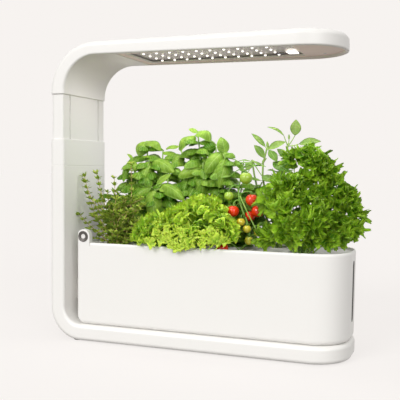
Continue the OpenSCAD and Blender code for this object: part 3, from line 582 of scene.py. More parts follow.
combine(tank, "DIFFERENCE",
        as_object("tool", loft([[(x, y, z) for y, z in slot_outline]
                                for x in (right_x - SLOT_DEEP, right_x + SLOT_PAST)])),
        rod((ear_x, -tank_y - PAST, ear_z), (ear_x, -tank_y + BUTTON_BORE_DEEP, ear_z), BUTTON_BORE_R),
        block((ear_x - SWITCH_HALF, -tank_y + SWITCH_FROM, ear_z - SWITCH_HALF),
              (ear_x + SWITCH_HALF, -tank_y + SWITCH_TO, ear_z + SWITCH_HALF)),
        block((notch_x, -tank_y - PAST, rim_z - NOTCH_HALF_H),
              (notch_x + NOTCH_W, -tank_y + EAR_T, rim_z + NOTCH_HALF_H)),
        block((tank_x - PAST, plate_lo.y, plate_lo.z), (tank_x + PLATE_DEEP, plate_hi.y, plate_hi.z)))
soften(tank)
finish_piece(tank, white_abs, "tank", "white_gloss", "tank_shell")

# ---- Plants: what they share ----
# A leaf blade is a thin closed sheet. One Geometry Nodes tree sets blades on marked points and grows
# stems along marked edges. Places come from the picture: a pixel and how far behind the middle it lies.
PODS = ("thyme", "lettuce", "tomato", "parsley", "basil_left", "basil_right", "sage")
FACING = {"front": (0.36, -0.8, 0.5), "up": (0.1, -0.25, 1), "left": (-0.55, -0.6, 0.5),
          "right": (0.85, -0.4, 0.4), "down": (0.1, -0.9, -0.4)}
ROOT_DEEP = 2.4
STEM_TAPER = 0.6
# Leaves that lean out over the front past this plane are pressed back towards it.
FRONT_Y = -65
FRONT_SQUEEZE = 0.2
# On a leaf, as shares of it: where a pale margin starts and how wide side veins and the midrib are drawn.
MARGIN_FROM = 0.55
VEIN_W = 0.12
MIDRIB_W = 0.03
# How far a slow mottle moves a leaf's tint either way.
MOTTLE_SWING = 0.22
# Stems start round their root, each turned by the golden angle from the one before.
GOLDEN_TURN = 2.4
rng = np.random.default_rng(11)
root_z = seat_z - ROOT_DEEP


def seen(px, py, y):
    """The point that the picture shows at a pixel, on the upright plane y millimetres behind the middle."""
    eye = Vector(CAMERA_PLACE) / MM
    mid = FRAME_PX / 2
    way = camera_turn.to_3x3() @ Vector(((px - mid) / FOCAL_PX, (mid - py) / FOCAL_PX, -1))
    return eye + way * (y - eye.y) / way.y


def sprig_tree():
    """Sets a blade from a collection on each point of kind 0 and up, and draws a stem along each edge."""
    tree = bpy.data.node_groups.new("sprig", "GeometryNodeTree")
    inputs = (("Plan", "NodeSocketGeometry"), ("Blades", "NodeSocketCollection"),
              ("Leaf", "NodeSocketMaterial"), ("Stem", "NodeSocketMaterial"), ("Stem sides", "NodeSocketInt"))
    sockets = {label: tree.interface.new_socket(label, in_out="INPUT", socket_type=kind).identifier
               for label, kind in inputs}
    tree.interface.new_socket("Plant", in_out="OUTPUT", socket_type="NodeSocketGeometry")
    entry = add(tree, "NodeGroupInput").outputs

    def marked(name, kind):
        return add(tree, "GeometryNodeInputNamedAttribute", {"Name": name}, data_type=kind).outputs["Attribute"]

    is_leaf = add(tree, "FunctionNodeCompare", {2: marked("kind", "INT")}, data_type="INT",
                  operation="GREATER_EQUAL")
    blades = add(tree, "GeometryNodeCollectionInfo", {
        "Collection": entry["Blades"], "Separate Children": True, "Reset Children": True})
    set_on = add(tree, "GeometryNodeInstanceOnPoints", {
        "Points": entry["Plan"], "Selection": is_leaf.outputs[0], "Instance": blades.outputs[0],
        "Pick Instance": True, "Instance Index": marked("kind", "INT"),
        "Rotation": marked("turn", "FLOAT_VECTOR"), "Scale": marked("size", "FLOAT_VECTOR")})
    real = add(tree, "GeometryNodeRealizeInstances", {"Geometry": set_on.outputs[0]})
    leaves = add(tree, "GeometryNodeSetMaterial", {"Geometry": real.outputs[0], "Material": entry["Leaf"]})
    line = add(tree, "GeometryNodeMeshToCurve", {"Mesh": entry["Plan"]})
    circle = add(tree, "GeometryNodeCurvePrimitiveCircle", {"Resolution": entry["Stem sides"], "Radius": 1.0})
    tube = add(tree, "GeometryNodeCurveToMesh", {
        "Curve": line.outputs[0], "Profile Curve": circle.outputs[0], "Scale": marked("thick", "FLOAT"),
        "Fill Caps": True})
    smooth = add(tree, "GeometryNodeSetShadeSmooth", {0: tube.outputs[0]})
    stems = add(tree, "GeometryNodeSetMaterial", {"Geometry": smooth.outputs[0], "Material": entry["Stem"]})
    joined = add(tree, "GeometryNodeJoinGeometry")
    tree.links.new(leaves.outputs[0], joined.inputs[0])
    tree.links.new(stems.outputs[0], joined.inputs[0])
    add(tree, "NodeGroupOutput", {0: joined.outputs[0]})
    return tree, sockets


sprig, sprig_inputs = sprig_tree()


class Plan:
    """Points and edges of one plant, in millimetres, with what grows at each."""

    def __init__(self):
        self.rows, self.edges = [], []

    def point(self, place, kind=-1, turn=(0, 0, 0), size=(1, 1, 1), tint=0.5, thick=1.0):
        self.rows.append((Vector(place) * MM, kind, turn, Vector(size) * MM, tint, thick * MM))

    def leaf(self, base, tip, width, facing, kind=0, tint=0.5):
        """A blade from base to tip, its upper side turned as nearly as it can to a way, or a name in FACING."""
        base, tip = Vector(base), Vector(tip)
        x = (tip - base).normalized()
        y = Vector(FACING[facing] if isinstance(facing, str) else facing).cross(x).normalized()
        turn = Matrix((x, y, x.cross(y))).transposed().to_euler()
        self.point(base, kind, turn, ((tip - base).length, width, width), tint)

    def stem(self, places, thick, thin=None, tint=0.5):
        """A stem through the places, smoothed, from its thick end to its thin one."""
        places = [Vector(p) for p in places]
        for _ in range(2 if len(places) > 2 else 0):
            pairs = [(a * 0.75 + b * 0.25, a * 0.25 + b * 0.75) for a, b in zip(places, places[1:])]
            places = [places[0]] + [p for pair in pairs for p in pair][1:-1] + [places[-1]]
        thin = thick * STEM_TAPER if thin is None else thin
        first = len(self.rows)
        for k, place in enumerate(places):
            self.point(place, thick=thick + (thin - thick) * k / (len(places) - 1), tint=tint)
        self.edges += [(first + k, first + k + 1) for k in range(len(places) - 1)]

    def grow(self, name, blades, leaf, stem, body, slot_name, node, sides=6):
        """The plant as one plain mesh that rides on its pod."""
        mesh = bpy.data.meshes.new(name)
        mesh.from_pydata([row[0] for row in self.rows], self.edges, [])
        marks = (("kind", "INT", "value"), ("turn", "FLOAT_VECTOR", "vector"),
                 ("size", "FLOAT_VECTOR", "vector"), ("tint", "FLOAT", "value"), ("thick", "FLOAT", "value"))
        for k, (label, kind, field) in enumerate(marks, 1):
            column = np.array([row[k] for row in self.rows]).reshape(-1)
            mesh.attributes.new(label, kind, "POINT").data.foreach_set(field, column)
        made = bpy.data.objects.new(name, mesh)
        bpy.context.scene.collection.objects.link(made)
        kinds = bpy.data.collections.new(name + "_blades")
        for one in blades:
            kinds.objects.link(one)
        change = made.modifiers.new("sprig", "NODES")
        change.node_group = sprig
        for label, value in (("Blades", kinds), ("Leaf", leaf), ("Stem", stem), ("Stem sides", sides)):
            change[sprig_inputs[label]] = value
        apply_modifiers(made)
        places = np.empty(len(made.data.vertices) * 3)
        made.data.vertices.foreach_get("co", places)
        past_front = np.minimum(places[1::3] - FRONT_Y * MM, 0)
        places[1::3] -= past_front * (1 - FRONT_SQUEEZE)
        made.data.vertices.foreach_set("co", places)
        made.data.update()
        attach(made, body)
        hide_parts(node)


def blade(name, rows, columns, shape, thick, crowd=1.0):
    """A thin closed sheet of unit length; shape gives the point at a place along it and across it.
    crowd below 1 draws the rows together towards the tip."""
    bm = bmesh.new()
    uv = bm.loops.layers.uv.new("blade")
    along, across = np.linspace(0, 1, rows) ** crowd, np.linspace(-1, 1, columns)
    grid = [[bm.verts.new(shape(u, v)) for v in across] for u in along]
    for i in range(rows - 1):
        for j in range(columns - 1):
            face = bm.faces.new((grid[i][j], grid[i + 1][j], grid[i + 1][j + 1], grid[i][j + 1]))
            for loop, (di, dj) in zip(face.loops, ((0, 0), (1, 0), (1, 1), (0, 1))):
                loop[uv].uv = (along[i + di], across[j + dj] / 2 + 0.5)
    bmesh.ops.solidify(bm, geom=bm.faces[:], thickness=thick)
    bmesh.ops.recalc_face_normals(bm, faces=bm.faces)
    for face in bm.faces:
        face.smooth = True
    mesh = bpy.data.meshes.new(name)
    bm.to_mesh(mesh)
    bm.free()
    return bpy.data.objects.new(name, mesh)


def blade_place(tree):
    """Sockets that say how far along its leaf, and how far across it, a point lies."""
    place = add(tree, "ShaderNodeUVMap", uv_map="blade").outputs[0]
    return add(tree, "ShaderNodeSeparateXYZ", {0: place}).outputs


def foliage(name, dark, light, vein, veins=0.0, roughness=0.42, mottle_mm=9.0, margin=0.0):
    """Leaf tissue: dark to light by each leaf's tint and a slow mottle, with paler veins or a paler margin."""
    made, tree, surface = material(name, Roughness=roughness, IOR=1.36, Subsurface_Weight=0.3)
    surface.inputs["Subsurface Radius"].default_value = (0.6, 1.0, 0.2)
    surface.inputs["Subsurface Scale"].default_value = 1.2 * MM
    place = add(tree, "ShaderNodeTexCoord").outputs["Object"]
    tint = add(tree, "ShaderNodeAttribute", attribute_name="tint").outputs[2]
    mottle = add(tree, "ShaderNodeTexNoise", {"Vector": place, "Scale": 1 / (mottle_mm * MM), "Detail": 3.0})
    swing = add(tree, "ShaderNodeMapRange", {
        0: mottle.outputs[0], 1: 0.3, 2: 0.7, 3: -MOTTLE_SWING, 4: MOTTLE_SWING})
    level = add(tree, "ShaderNodeMath", {0: tint, 1: swing.outputs[0]}, operation="ADD", use_clamp=True)
    if margin:
        along = blade_place(tree)[0]
        pale = add(tree, "ShaderNodeMapRange", {0: along, 1: MARGIN_FROM, 2: 1.0, 3: 0.0, 4: margin})
        level = add(tree, "ShaderNodeMath", {0: level.outputs[0], 1: pale.outputs[0]}, operation="ADD",
                    use_clamp=True)
    green = add(tree, "ShaderNodeMix", {0: level.outputs[0], 6: linear(dark), 7: linear(light)},
                data_type="RGBA")
    colour = green.outputs[2]
    if veins:
        along, across, _ = blade_place(tree)
        off = add(tree, "ShaderNodeMath", {0: across, 1: 0.5}, operation="SUBTRACT")
        side = add(tree, "ShaderNodeMath", {0: off.outputs[0]}, operation="ABSOLUTE")
        slant = add(tree, "ShaderNodeMath", {0: side.outputs[0], 1: -0.5, 2: along}, operation="MULTIPLY_ADD")
        wave = add(tree, "ShaderNodeMath", {0: slant.outputs[0], 1: 0.5 / veins}, operation="PINGPONG")
        rib = add(tree, "ShaderNodeMapRange", {0: wave.outputs[0], 1: 0.0, 2: VEIN_W / veins, 3: 0.55, 4: 0.0})
        midrib = add(tree, "ShaderNodeMapRange", {0: side.outputs[0], 1: 0.008, 2: MIDRIB_W, 3: 0.9, 4: 0.0})
        mask = add(tree, "ShaderNodeMath", {0: rib.outputs[0], 1: midrib.outputs[0]}, operation="MAXIMUM")
        veined = add(tree, "ShaderNodeMix", {0: mask.outputs[0], 6: colour, 7: linear(vein)},
                     data_type="RGBA")
        colour = veined.outputs[2]
    tree.links.new(colour, surface.inputs["Base Color"])
    fine = add(tree, "ShaderNodeTexNoise", {"Vector": place, "Scale": 1 / (1.6 * MM), "Detail": 2.0})
    bump = add(tree, "ShaderNodeBump", {"Strength": 0.35, "Distance": 0.3 * MM, "Height": fine.outputs[0]})
    tree.links.new(bump.outputs[0], surface.inputs["Normal"])
    return made


def pod(plant):
    """Where a pod's plant leaves its sponge."""
    lo, hi = extent("basket_" + plant)
    return Vector(((lo.x + hi.x) / 2, (lo.y + hi.y) / 2, root_z))


def foot_of(root, i, spread, up):
    """Where a plant's stem number i starts."""
    turn = GOLDEN_TURN * i
    return root + Vector((spread * math.cos(turn), spread * math.sin(turn), up))


def near(place, spread):
    """The place, moved a little at random."""
    return Vector(place) + Vector(rng.normal(0, spread, 3))


# ---- Basil: two bushes at the back ----
# Glossy domed leaves, puffed between their veins, on pale green shoots.
# The leaves that the picture shows are placed one by one; the rest follow the shoots.
# How far each leaf arches, how deep it is domed and how far it twists; the last two are coarser, for the fill.
BASIL_SHAPES = (
    (0.26, 0.6, 0.0), (0.2, 0.5, 0.06), (0.06, -0.3, 0.0), (0.36, 0.6, -0.05), (0.3, 0.5, 0.04),
    (0.2, 0.6, -0.04))


def basil_blade(arch, dome, twist):
    """An ovate leaf: arched along its length, domed across, puffed between seven pairs of veins."""
    def shape(u, v):
        half = 0.015 + 0.5 * max(0, math.sin(math.pi * u ** 0.86)) ** 0.62 * (1 - 0.1 * u)
        puff = abs(math.sin(math.pi * 7 * (u - 0.22 * abs(v)))) ** 0.8 * (1 - v ** 4) * min(1, 4 * half)
        z = (arch * math.sin(math.pi * u ** 1.2) - dome * half * v * v * 1.1 + 0.03 * puff
             - 0.03 * math.exp(-(v / 0.09) ** 2) + twist * v * u)
        return u, half * v * (1 - 0.12 * dome * v * v), z
    return shape


basil_grids = [(19, 13)] * 4 + [(13, 9)] * 2
basil_blades = [blade(f"basil_{k}", *grid, basil_blade(*form), 0.018)
                for k, (grid, form) in enumerate(zip(basil_grids, BASIL_SHAPES))]
# Basil leaf: glossy mid green with paler veins and a little light coming through.
basil_leaf = foliage("basil_leaf", "#57990F", "#BFE05A", "#C6E27C", 7.0, 0.34)
# Basil stem: pale, juicy green.
basil_stem = foliage("basil_stem", "#8CB84A", "#BBD880", "#A5C463", 0.0, 0.5)

# Pixel of each leaf's base and tip with their depths, then width, facing, blade and tint.
BASIL_LEFT = (
    ((145.5, 141.5, 44), (139, 156, 34), 20, "front", 1, 0.75),
    ((147.5, 141, 45), (161, 151, 40), 19, "up", 3, 0.7),
    ((150, 161, 28), (141, 185, 14), 22, "front", 0, 0.6),
    ((152.5, 159, 28), (174, 172, 18), 22, "front", 0, 0.62),
    ((151, 158, 30), (140, 158, 28), 10, "up", 2, 0.85),
    ((131, 158, 20), (123, 182, 10), 17, "left", 0, 0.42),
    ((133, 160, 20), (136, 172, 12), 9, "front", 1, 0.6), ((132, 160, 22), (127, 154, 20), 8, "up", 2, 0.7),
    ((163, 152, 46), (177, 155, 44), 12, "up", 1, 0.6),
    ((154, 190, 6), (153, 218, -6), 23, "front", 0, 0.62),
    ((162, 184, 8), (184, 200, 0), 20, "front", 3, 0.6),
    ((151, 187, 10), (134, 198, 4), 15, "front", 0, 0.58),
    ((157, 184, 8), (171, 174, 10), 8, "front", 2, 0.8),
    ((160, 189, 4), (168, 191, 0), 9, "front", 2, 0.75),
    ((146, 176, 18), (150, 187, 8), 16, "front", 0, 0.3),
    ((130, 183, 24), (116, 190, 18), 13, "front", 0, 0.35),
    ((158, 168, 34), (168, 178, 28), 13, "front", 0, 0.3),
    ((171, 168, 30), (181, 174, 24), 12, "front", 1, 0.5),
    ((139, 190, 18), (146, 210, 8), 18, "front", 0, 0.25),
    ((166, 196, 14), (176, 214, 6), 17, "front", 0, 0.2))
BASIL_RIGHT = (
    ((195, 135.5, 38), (179, 150, 28), 21, "up", 3, 0.66),
    ((199, 131, 38), (210, 142, 32), 23, "up", 3, 0.68),
    ((198, 132, 42), (189, 129, 46), 12, "up", 1, 0.66),
    ((222, 152, 22), (205, 173, 6), 22, "front", 0, 0.66),
    ((225, 153, 20), (221, 137, 22), 17, "front", 1, 0.74),
    ((226, 154, 18), (235, 158, 12), 14, "right", 0, 0.5),
    ((227, 158, 16), (219, 188, 4), 24, "front", 0, 0.5),
    ((202, 165, 26), (178, 177, 14), 18, "front", 0, 0.8),
    ((203, 169, 24), (202, 195, 12), 24, "front", 0, 0.42),
    ((204, 162, 28), (206, 155, 30), 6, "front", 2, 0.85),
    ((216, 147, 40), (202, 150, 34), 16, "down", 0, 0.2),
    ((179, 146, 48), (166, 149, 48), 14, "up", 1, 0.62),
    ((184, 156, 44), (171, 165, 36), 14, "front", 0, 0.55),
    ((188, 178, 26), (183, 194, 16), 15, "front", 0, 0.3),
    ((200, 152, 44), (190, 162, 36), 16, "front", 0, 0.35),
    ((236, 160, 24), (243, 170, 18), 12, "right", 1, 0.5),
    ((212, 176, 20), (230, 184, 8), 18, "front", 0, 0.3),
    ((193, 186, 22), (200, 206, 10), 18, "front", 0, 0.2))
# Pixel and depth of each shoot's top.
SHOOTS_LEFT = (
    (146.5, 141, 45), (151.5, 160, 29), (132, 159, 21), (156, 187, 8), (163, 151, 48), (140, 176, 30),
    (168, 178, 26), (150, 198, 20), (128, 192, 30), (124, 204, 20), (171, 202, 22), (146, 160, 46),
    (114, 208, 26), (116, 196, 30), (120, 210, 20), (110, 200, 30), (118, 218, 16), (126, 194, 26),
    (112, 190, 34))
SHOOTS_RIGHT = (
    (198, 134, 40), (225, 154, 19), (203, 163, 27), (181, 148, 50), (216, 148, 42), (190, 176, 30),
    (210, 188, 22), (226, 182, 28), (186, 200, 26), (204, 146, 46), (176, 170, 44), (236, 192, 28),
    (214, 206, 20), (246, 190, 30), (256, 196, 30), (250, 214, 24), (262, 182, 34), (240, 226, 18),
    (244, 178, 30))
# Whorls of leaves along a shoot: how far under its top, how many leaves in each, and their sizes.
WHORLS_DOWN = (10, 22, 36, 52, 70, 90)
IN_WHORL = 3
WHORL_LEAF = 27
WHORL_GROWTH = 3
BASIL_RATIO = 0.72


def basil(name, plant, leaves, shoots):
    """One bush: its shoots with whorls of leaves, under the leaves that the picture shows."""
    bush = Plan()
    root = pod(plant)
    for i, apex in enumerate(shoots):
        top = seen(*apex)
        foot = foot_of(root, i, 4, 4)
        bow = foot.lerp(top, 0.5) + Vector(((top.x - foot.x) / 4, 0, 8))
        bush.stem([foot, bow, top], 1.9, 1.0, 0.5)
        for n, fall in enumerate(WHORLS_DOWN):
            down = fall + 3 * rng.random()
            if down > (top - foot).length - 14:
                break
            at = top + (bow - top).normalized() * down
            size = WHORL_LEAF + WHORL_GROWTH * min(n, 3)
            for m in range(IN_WHORL):
                angle = math.pi / IN_WHORL * n + m * math.tau / IN_WHORL + i + 0.5 * rng.random()
                out = Vector((math.cos(angle), math.sin(angle), 0.1 - 0.22 * n * rng.random() - 0.25))
                tip = at + out.normalized() * size
                bush.leaf(at, tip, size * BASIL_RATIO, "up", int(rng.integers(4, 6)),
                          0.1 + 0.4 * rng.random())
    for base, tip, width, facing, kind, tint in leaves:
        start = seen(*base)
        bush.leaf(start, seen(*tip), width * 1.2, facing, kind, tint + 0.06 * rng.normal())
        apex = min((seen(*a) for a in shoots), key=lambda a: (a - start).length)
        bush.stem([apex - Vector((0, 0, 5)), start.lerp(apex, 0.3) - Vector((0, 0, 1)), start], 0.9, 0.7, 0.6)
    bush.grow(name, basil_blades, basil_leaf, basil_stem, "pod_" + plant, "basil_leaf", "plant_" + plant)


basil("basil_bush_left", "basil_left", BASIL_LEFT, SHOOTS_LEFT)
basil("basil_bush_right", "basil_right", BASIL_RIGHT, SHOOTS_RIGHT)


# ---- Lettuce: a loose-leaf head ----
# Broad blistered fans in a low rosette, each with a row of small round ruffles set along its margin.
def frill_blade(spread, lobes, curl, cup, fold, start, seed, teeth=1.0):
    """A fan with a blistered bowl, whose margin past start is a row of scalloped lobes, bent to and fro.
    The bowl curls up by curl and is cupped by cup; fold is how far the lobes bend."""
    draw = np.random.default_rng(seed)
    phase = draw.uniform(-0.5, 0.5, 3)
    ways = draw.uniform(0, math.tau, 4)
    shifts = draw.uniform(0, math.tau, 4)

    def shape(u, v):
        a = spread * v
        wave = math.pi * lobes / 2 * (v + 0.06 * math.sin(5 * v + 6 * phase[0])) + phase[1]
        fine = 2.7 * wave + 3
        outer, rim = (max(0.0, (u - s) / (1 - s)) for s in (start, 0.4 + 0.6 * start))
        lobe = (outer * (0.12 * abs(math.sin(wave)) ** 0.7 - 0.05)
                + 0.06 * teeth * rim * abs(math.sin(fine)) ** 0.7)
        reach = u * (0.95 + 0.05 * math.cos(3 * a + 6 * phase[2])) + lobe
        pitch = curl * u ** 1.5
        bend = fold * (outer ** 1.4 * math.sin(wave) + 0.5 * teeth * rim * math.sin(fine))
        x = reach * math.cos(pitch * 0.8) * (0.35 * u + 0.65 * math.cos(a * 0.9))
        y = reach * math.sin(a) * 0.62 + 0.05 * v * (1 - u)
        z = reach * math.sin(pitch) * 0.7 + cup * (reach * math.sin(a)) ** 2 * 1.2 + bend
        for way, shift in zip(ways, shifts):
            z += 0.015 * math.sin(24 * (x * math.cos(way) + y * math.sin(way)) + shift) * min(1, 2 * u)
        return x, y, z
    return shape


# Lobes, curl and cup of the six kinds of leaf, then the curl of the three kinds of ruffle.
LETTUCE_KINDS = ((13, 0.5, 0.3), (11, -0.7, 0.25), (12, 0.8, 0.4), (11, -1.1, 0.2), (14, 0.2, 0.35),
                 (12, 1.0, 0.5))
RUFFLE_CURLS = (0.9, 0.3, -0.5)
LETTUCE_FORMS = [frill_blade(1.35, lobes, curl, cup, 0.06, 0.6, k)
                 for k, (lobes, curl, cup) in enumerate(LETTUCE_KINDS)]
lettuce_blades = [blade(f"lettuce_{k}", 10, 49, form, 0.012, 0.7) for k, form in enumerate(LETTUCE_FORMS)]
for k, curl in enumerate(RUFFLE_CURLS):
    ruffle = frill_blade(1.5, 4, curl, 0.5, 0.14, 0.3, 50 + k)
    lettuce_blades.append(blade(f"lettuce_ruffle_{k}", 6, 17, ruffle, 0.03, 0.7))
# Lettuce leaf: bright yellow green, paler at its margin, thin and glossy.
lettuce_leaf = foliage("lettuce_leaf", "#6EBA02", "#E6FF5A", "#C8E070", 0.0, 0.34, 12.0, 0.6)
# Lettuce rib: watery, almost white green.
lettuce_rib = foliage("lettuce_rib", "#B5D368", "#DDEBA0", "#C8DC88", 0.0, 0.45)
# Pixel and depth of each leaf's base and tip, then width, blade and tint.
LETTUCE = (
    ((198, 232, -20), (190, 199, -12), 40, 0, 0.6), ((202, 232, -20), (205, 194, -10), 42, 4, 0.65),
    ((206, 232, -20), (219, 198, -12), 38, 0, 0.6), ((210, 234, -22), (230, 206, -16), 36, 2, 0.6),
    ((204, 236, -28), (208, 209, -40), 50, 2, 0.45), ((196, 234, -26), (182, 205, -26), 40, 4, 0.6),
    ((192, 236, -30), (170, 206, -30), 40, 0, 0.65), ((188, 238, -34), (160, 218, -38), 38, 2, 0.7),
    ((186, 240, -38), (151, 231, -46), 36, 0, 0.65), ((190, 236, -40), (166, 228, -52), 34, 5, 0.75),
    ((180, 236, -52), (166, 246, -67), 28, 4, 0.7), ((180, 238, -54), (171, 250, -69), 28, 4, 0.75),
    ((188, 236, -50), (188, 247, -64), 24, 4, 0.6), ((198, 240, -46), (198, 226, -54), 34, 2, 0.75),
    ((206, 244, -50), (204, 231, -56), 28, 2, 0.8), ((208, 236, -44), (213, 240, -52), 26, 4, 0.6),
    ((212, 238, -38), (232, 218, -36), 36, 0, 0.6), ((214, 240, -40), (243, 230, -44), 34, 4, 0.5),
    ((216, 242, -44), (241, 243, -50), 30, 5, 0.5), ((212, 240, -46), (226, 241, -54), 26, 0, 0.5),
    ((166, 240, -38), (138, 221, -40), 28, 0, 0.5), ((164, 241, -40), (130, 234, -44), 26, 4, 0.45),
    ((166, 242, -42), (138, 243, -50), 26, 5, 0.5), ((168, 238, -42), (152, 224, -46), 26, 2, 0.6))
RUFFLES = 9
RUFFLE_MM = 9
lettuce = Plan()
lettuce_root = pod("lettuce")


def lettuce_fan(base, tip, width, facing, kind, tint):
    """One leaf with small round ruffles set along its margin, leaning to and fro."""
    lettuce.leaf(base, tip, width, facing, kind, tint)
    x = (tip - base).normalized()
    y = facing.cross(x).normalized()
    z = x.cross(y)

    def on_leaf(u, v):
        sx, sy, sz = LETTUCE_FORMS[kind](u, v)
        return base + x * sx * (tip - base).length + y * sy * width + z * sz * width

    for n, v in enumerate(np.linspace(-0.93, 0.93, RUFFLES)):
        at = on_leaf(0.9, v)
        out = (at - on_leaf(0.6, v)).normalized()
        across = (on_leaf(0.9, v + 0.06) - on_leaf(0.9, v - 0.06)).normalized()
        face = out.cross(across)
        face *= 1 if face.dot(z) > 0 else -1
        lean = (0.7 if n % 2 else -0.3) + rng.normal(0, 0.2)
        upright, level = math.cos(lean), math.sin(lean)
        out, face = out * upright + face * level, face * upright - out * level
        size = RUFFLE_MM * (0.8 + 0.4 * rng.random())
        lettuce.leaf(at - out * size * 0.4, at + out * size * 0.6, size * 1.5, face,
                     len(LETTUCE_FORMS) + n % len(RUFFLE_CURLS), tint + 0.15 + 0.15 * rng.normal())


lettuce.stem([lettuce_root - Vector((0, 0, 2)), lettuce_root + Vector((0, 0, 16))], 7, 5, 0.3)
for base, tip, width, kind, tint in LETTUCE:
    start, end = seen(*base), seen(*tip)
    foot = lettuce_root + (start - lettuce_root).normalized() * 6
    lettuce_fan(start, end, width, Vector(FACING["front"]), kind, tint - 0.2)
    lettuce.stem([foot, foot.lerp(start, 0.5) - Vector((0, 0, 2)), start, start.lerp(end, 0.25)], 2.4, 0.9, 0.6)
for i in range(8):
    angle, pitch = GOLDEN_TURN * i, 0.2 + 0.1 * i
    out = Vector((math.cos(angle) * math.cos(pitch), math.sin(angle) * math.cos(pitch), math.sin(pitch)))
    length = 44 if abs(out.y) < 0.6 else 30
    start = lettuce_root + out * 6 + Vector((0, 0, 4))
    inward = Vector((-out.x * 0.8, -out.y * 0.8, 1.2))
    lettuce_fan(start, start + out * length, length * 0.95, inward, i % len(LETTUCE_FORMS),
                0.25 + 0.3 * rng.random())
lettuce.grow("lettuce_head", lettuce_blades, lettuce_leaf, lettuce_rib, "pod_lettuce", "lettuce_leaf",
             "plant_lettuce", 8)

# ---- Parsley: a mound of curly leaves ----
# Each stem forks into small fans, rolled and crimped so tightly that they read as dark green tufts.
parsley_fans = [frill_blade(1.6, 6, curl, 0.5, 0.1, 0.25, 20 + k, 0.0)
                for k, curl in enumerate((0.5, 0.1, 0.8, -0.3))]
parsley_blades = [blade(f"parsley_{k}", 5, 25, fan, 0.03, 0.7) for k, fan in enumerate(parsley_fans)]
# Parsley leaf: deep green with paler crimped edges.
parsley_leaf = foliage("parsley_leaf", "#4F9008", "#BFE63C", "#8FC050", 0.0, 0.42, 5.0, 0.55)
# Parsley stem: light green.
parsley_stem = foliage("parsley_stem", "#7FAE45", "#B4CF7A", "#B4CF7A", 0.0, 0.45)
# Pixel and depth of each tuft, its radius in millimetres and its tint.
PARSLEY = (
    (306, 156, 0, 15, 0.4), (317, 162, -4, 12, 0.4), (294, 160, 10, 11, 0.3), (316, 174, -8, 15, 0.35),
    (328, 172, 0, 11, 0.35), (303, 184, -14, 15, 0.3), (278, 188, -22, 16, 0.62), (291, 184, -20, 13, 0.55),
    (266, 200, -28, 12, 0.5), (333, 188, 6, 15, 0.35), (344, 194, 12, 11, 0.4), (320, 196, -10, 16, 0.25),
    (352, 200, 16, 8, 0.45), (336, 210, -6, 14, 0.3), (347, 216, 4, 11, 0.35), (356, 214, 10, 7, 0.5),
    (305, 204, -26, 16, 0.3), (288, 208, -38, 15, 0.6), (318, 214, -26, 16, 0.2), (344, 232, -6, 12, 0.35),
    (353, 230, 2, 9, 0.4), (342, 238, -14, 9, 0.35), (330, 234, -22, 13, 0.35), (322, 222, -30, 12, 0.4),
    (302, 222, -42, 14, 0.55), (284, 226, -46, 14, 0.75), (297, 235, -45, 12, 0.6), (312, 237, -38, 12, 0.35),
    (272, 236, -46, 9, 0.7), (263, 238, -42, 8, 0.5), (283, 238, -48, 11, 0.55), (328, 238, -26, 10, 0.3),
    (276, 212, -44, 10, 0.7), (313, 228, -44, 13, 0.5), (298, 194, -20, 13, 0.35), (336, 222, -14, 12, 0.25))
parsley = Plan()
parsley_root = pod("parsley")
for i, (px, py, y, r, tint) in enumerate(PARSLEY):
    top = seen(px, py, y)
    foot = foot_of(parsley_root, i, 6, -2)
    bow = foot.lerp(top, 0.55) + Vector(((top.x - foot.x) * 0.1, 0, 10))
    parsley.stem([foot, bow, top - Vector((0, 0, 0.4 * r))], 1.1, 0.7, 0.6)
    for n in range(int(6 + 0.9 * r)):
        way = (Vector(rng.normal(0, 1, 3)) + Vector((0.2, -0.7, 0.5))).normalized()
        base = top + way * r * (0.35 + 0.4 * rng.random())
        size = 9 + 3.5 * rng.random()
        along = Vector(rng.normal(0, 0.7, 3))
        along = (along - way * along.dot(way) * 0.8).normalized()
        facing = way + Vector((0.1, -0.4, 0.3))
        # Leaves on the upper side of a tuft get a higher tint: painted light on the tops of the tufts.
        parsley.leaf(base, base + along * size, size * 1.4, facing, int(rng.integers(0, len(parsley_blades))),
                     tint + 0.18 * rng.normal() + 0.1 * way.z)
        if n % 4 == 0:
            parsley.stem([top - Vector((0, 0, 0.4 * r)), base], 0.5, 0.4, 0.7)
parsley.grow("parsley_mound", parsley_blades, parsley_leaf, parsley_stem, "pod_parsley", "parsley_leaf",
             "plant_parsley", 5)


# ---- Thyme: a spray of wiry stems ----
# Small smooth leaves in whorls up thin tan stems, some listed one by one and more drawn between them.
def thyme_blade(dome):
    """A small oval leaf, domed or cupped."""
    def shape(u, v):
        half = 0.03 + 0.5 * math.sin(math.pi * u ** 0.9)
        return u, half * v, 0.15 * math.sin(2.4 * u) - dome * v * v * u * (1 - u)
    return shape


thyme_blades = [blade(f"thyme_{k}", 4, 3, thyme_blade(dome), 0.05) for k, dome in enumerate((0.25, 0.05))]
# Thyme leaf: dull green, yellower towards the tips of its stems.
thyme_leaf = foliage("thyme_leaf", "#76A422", "#CFE35E", "#9CC060", 0.0, 0.5, 6.0)
# Thyme stem: thin tan wood.
thyme_stem = foliage("thyme_stem", "#A08C50", "#CDBB80", "#CDBB80", 0.0, 0.6, 5.0)
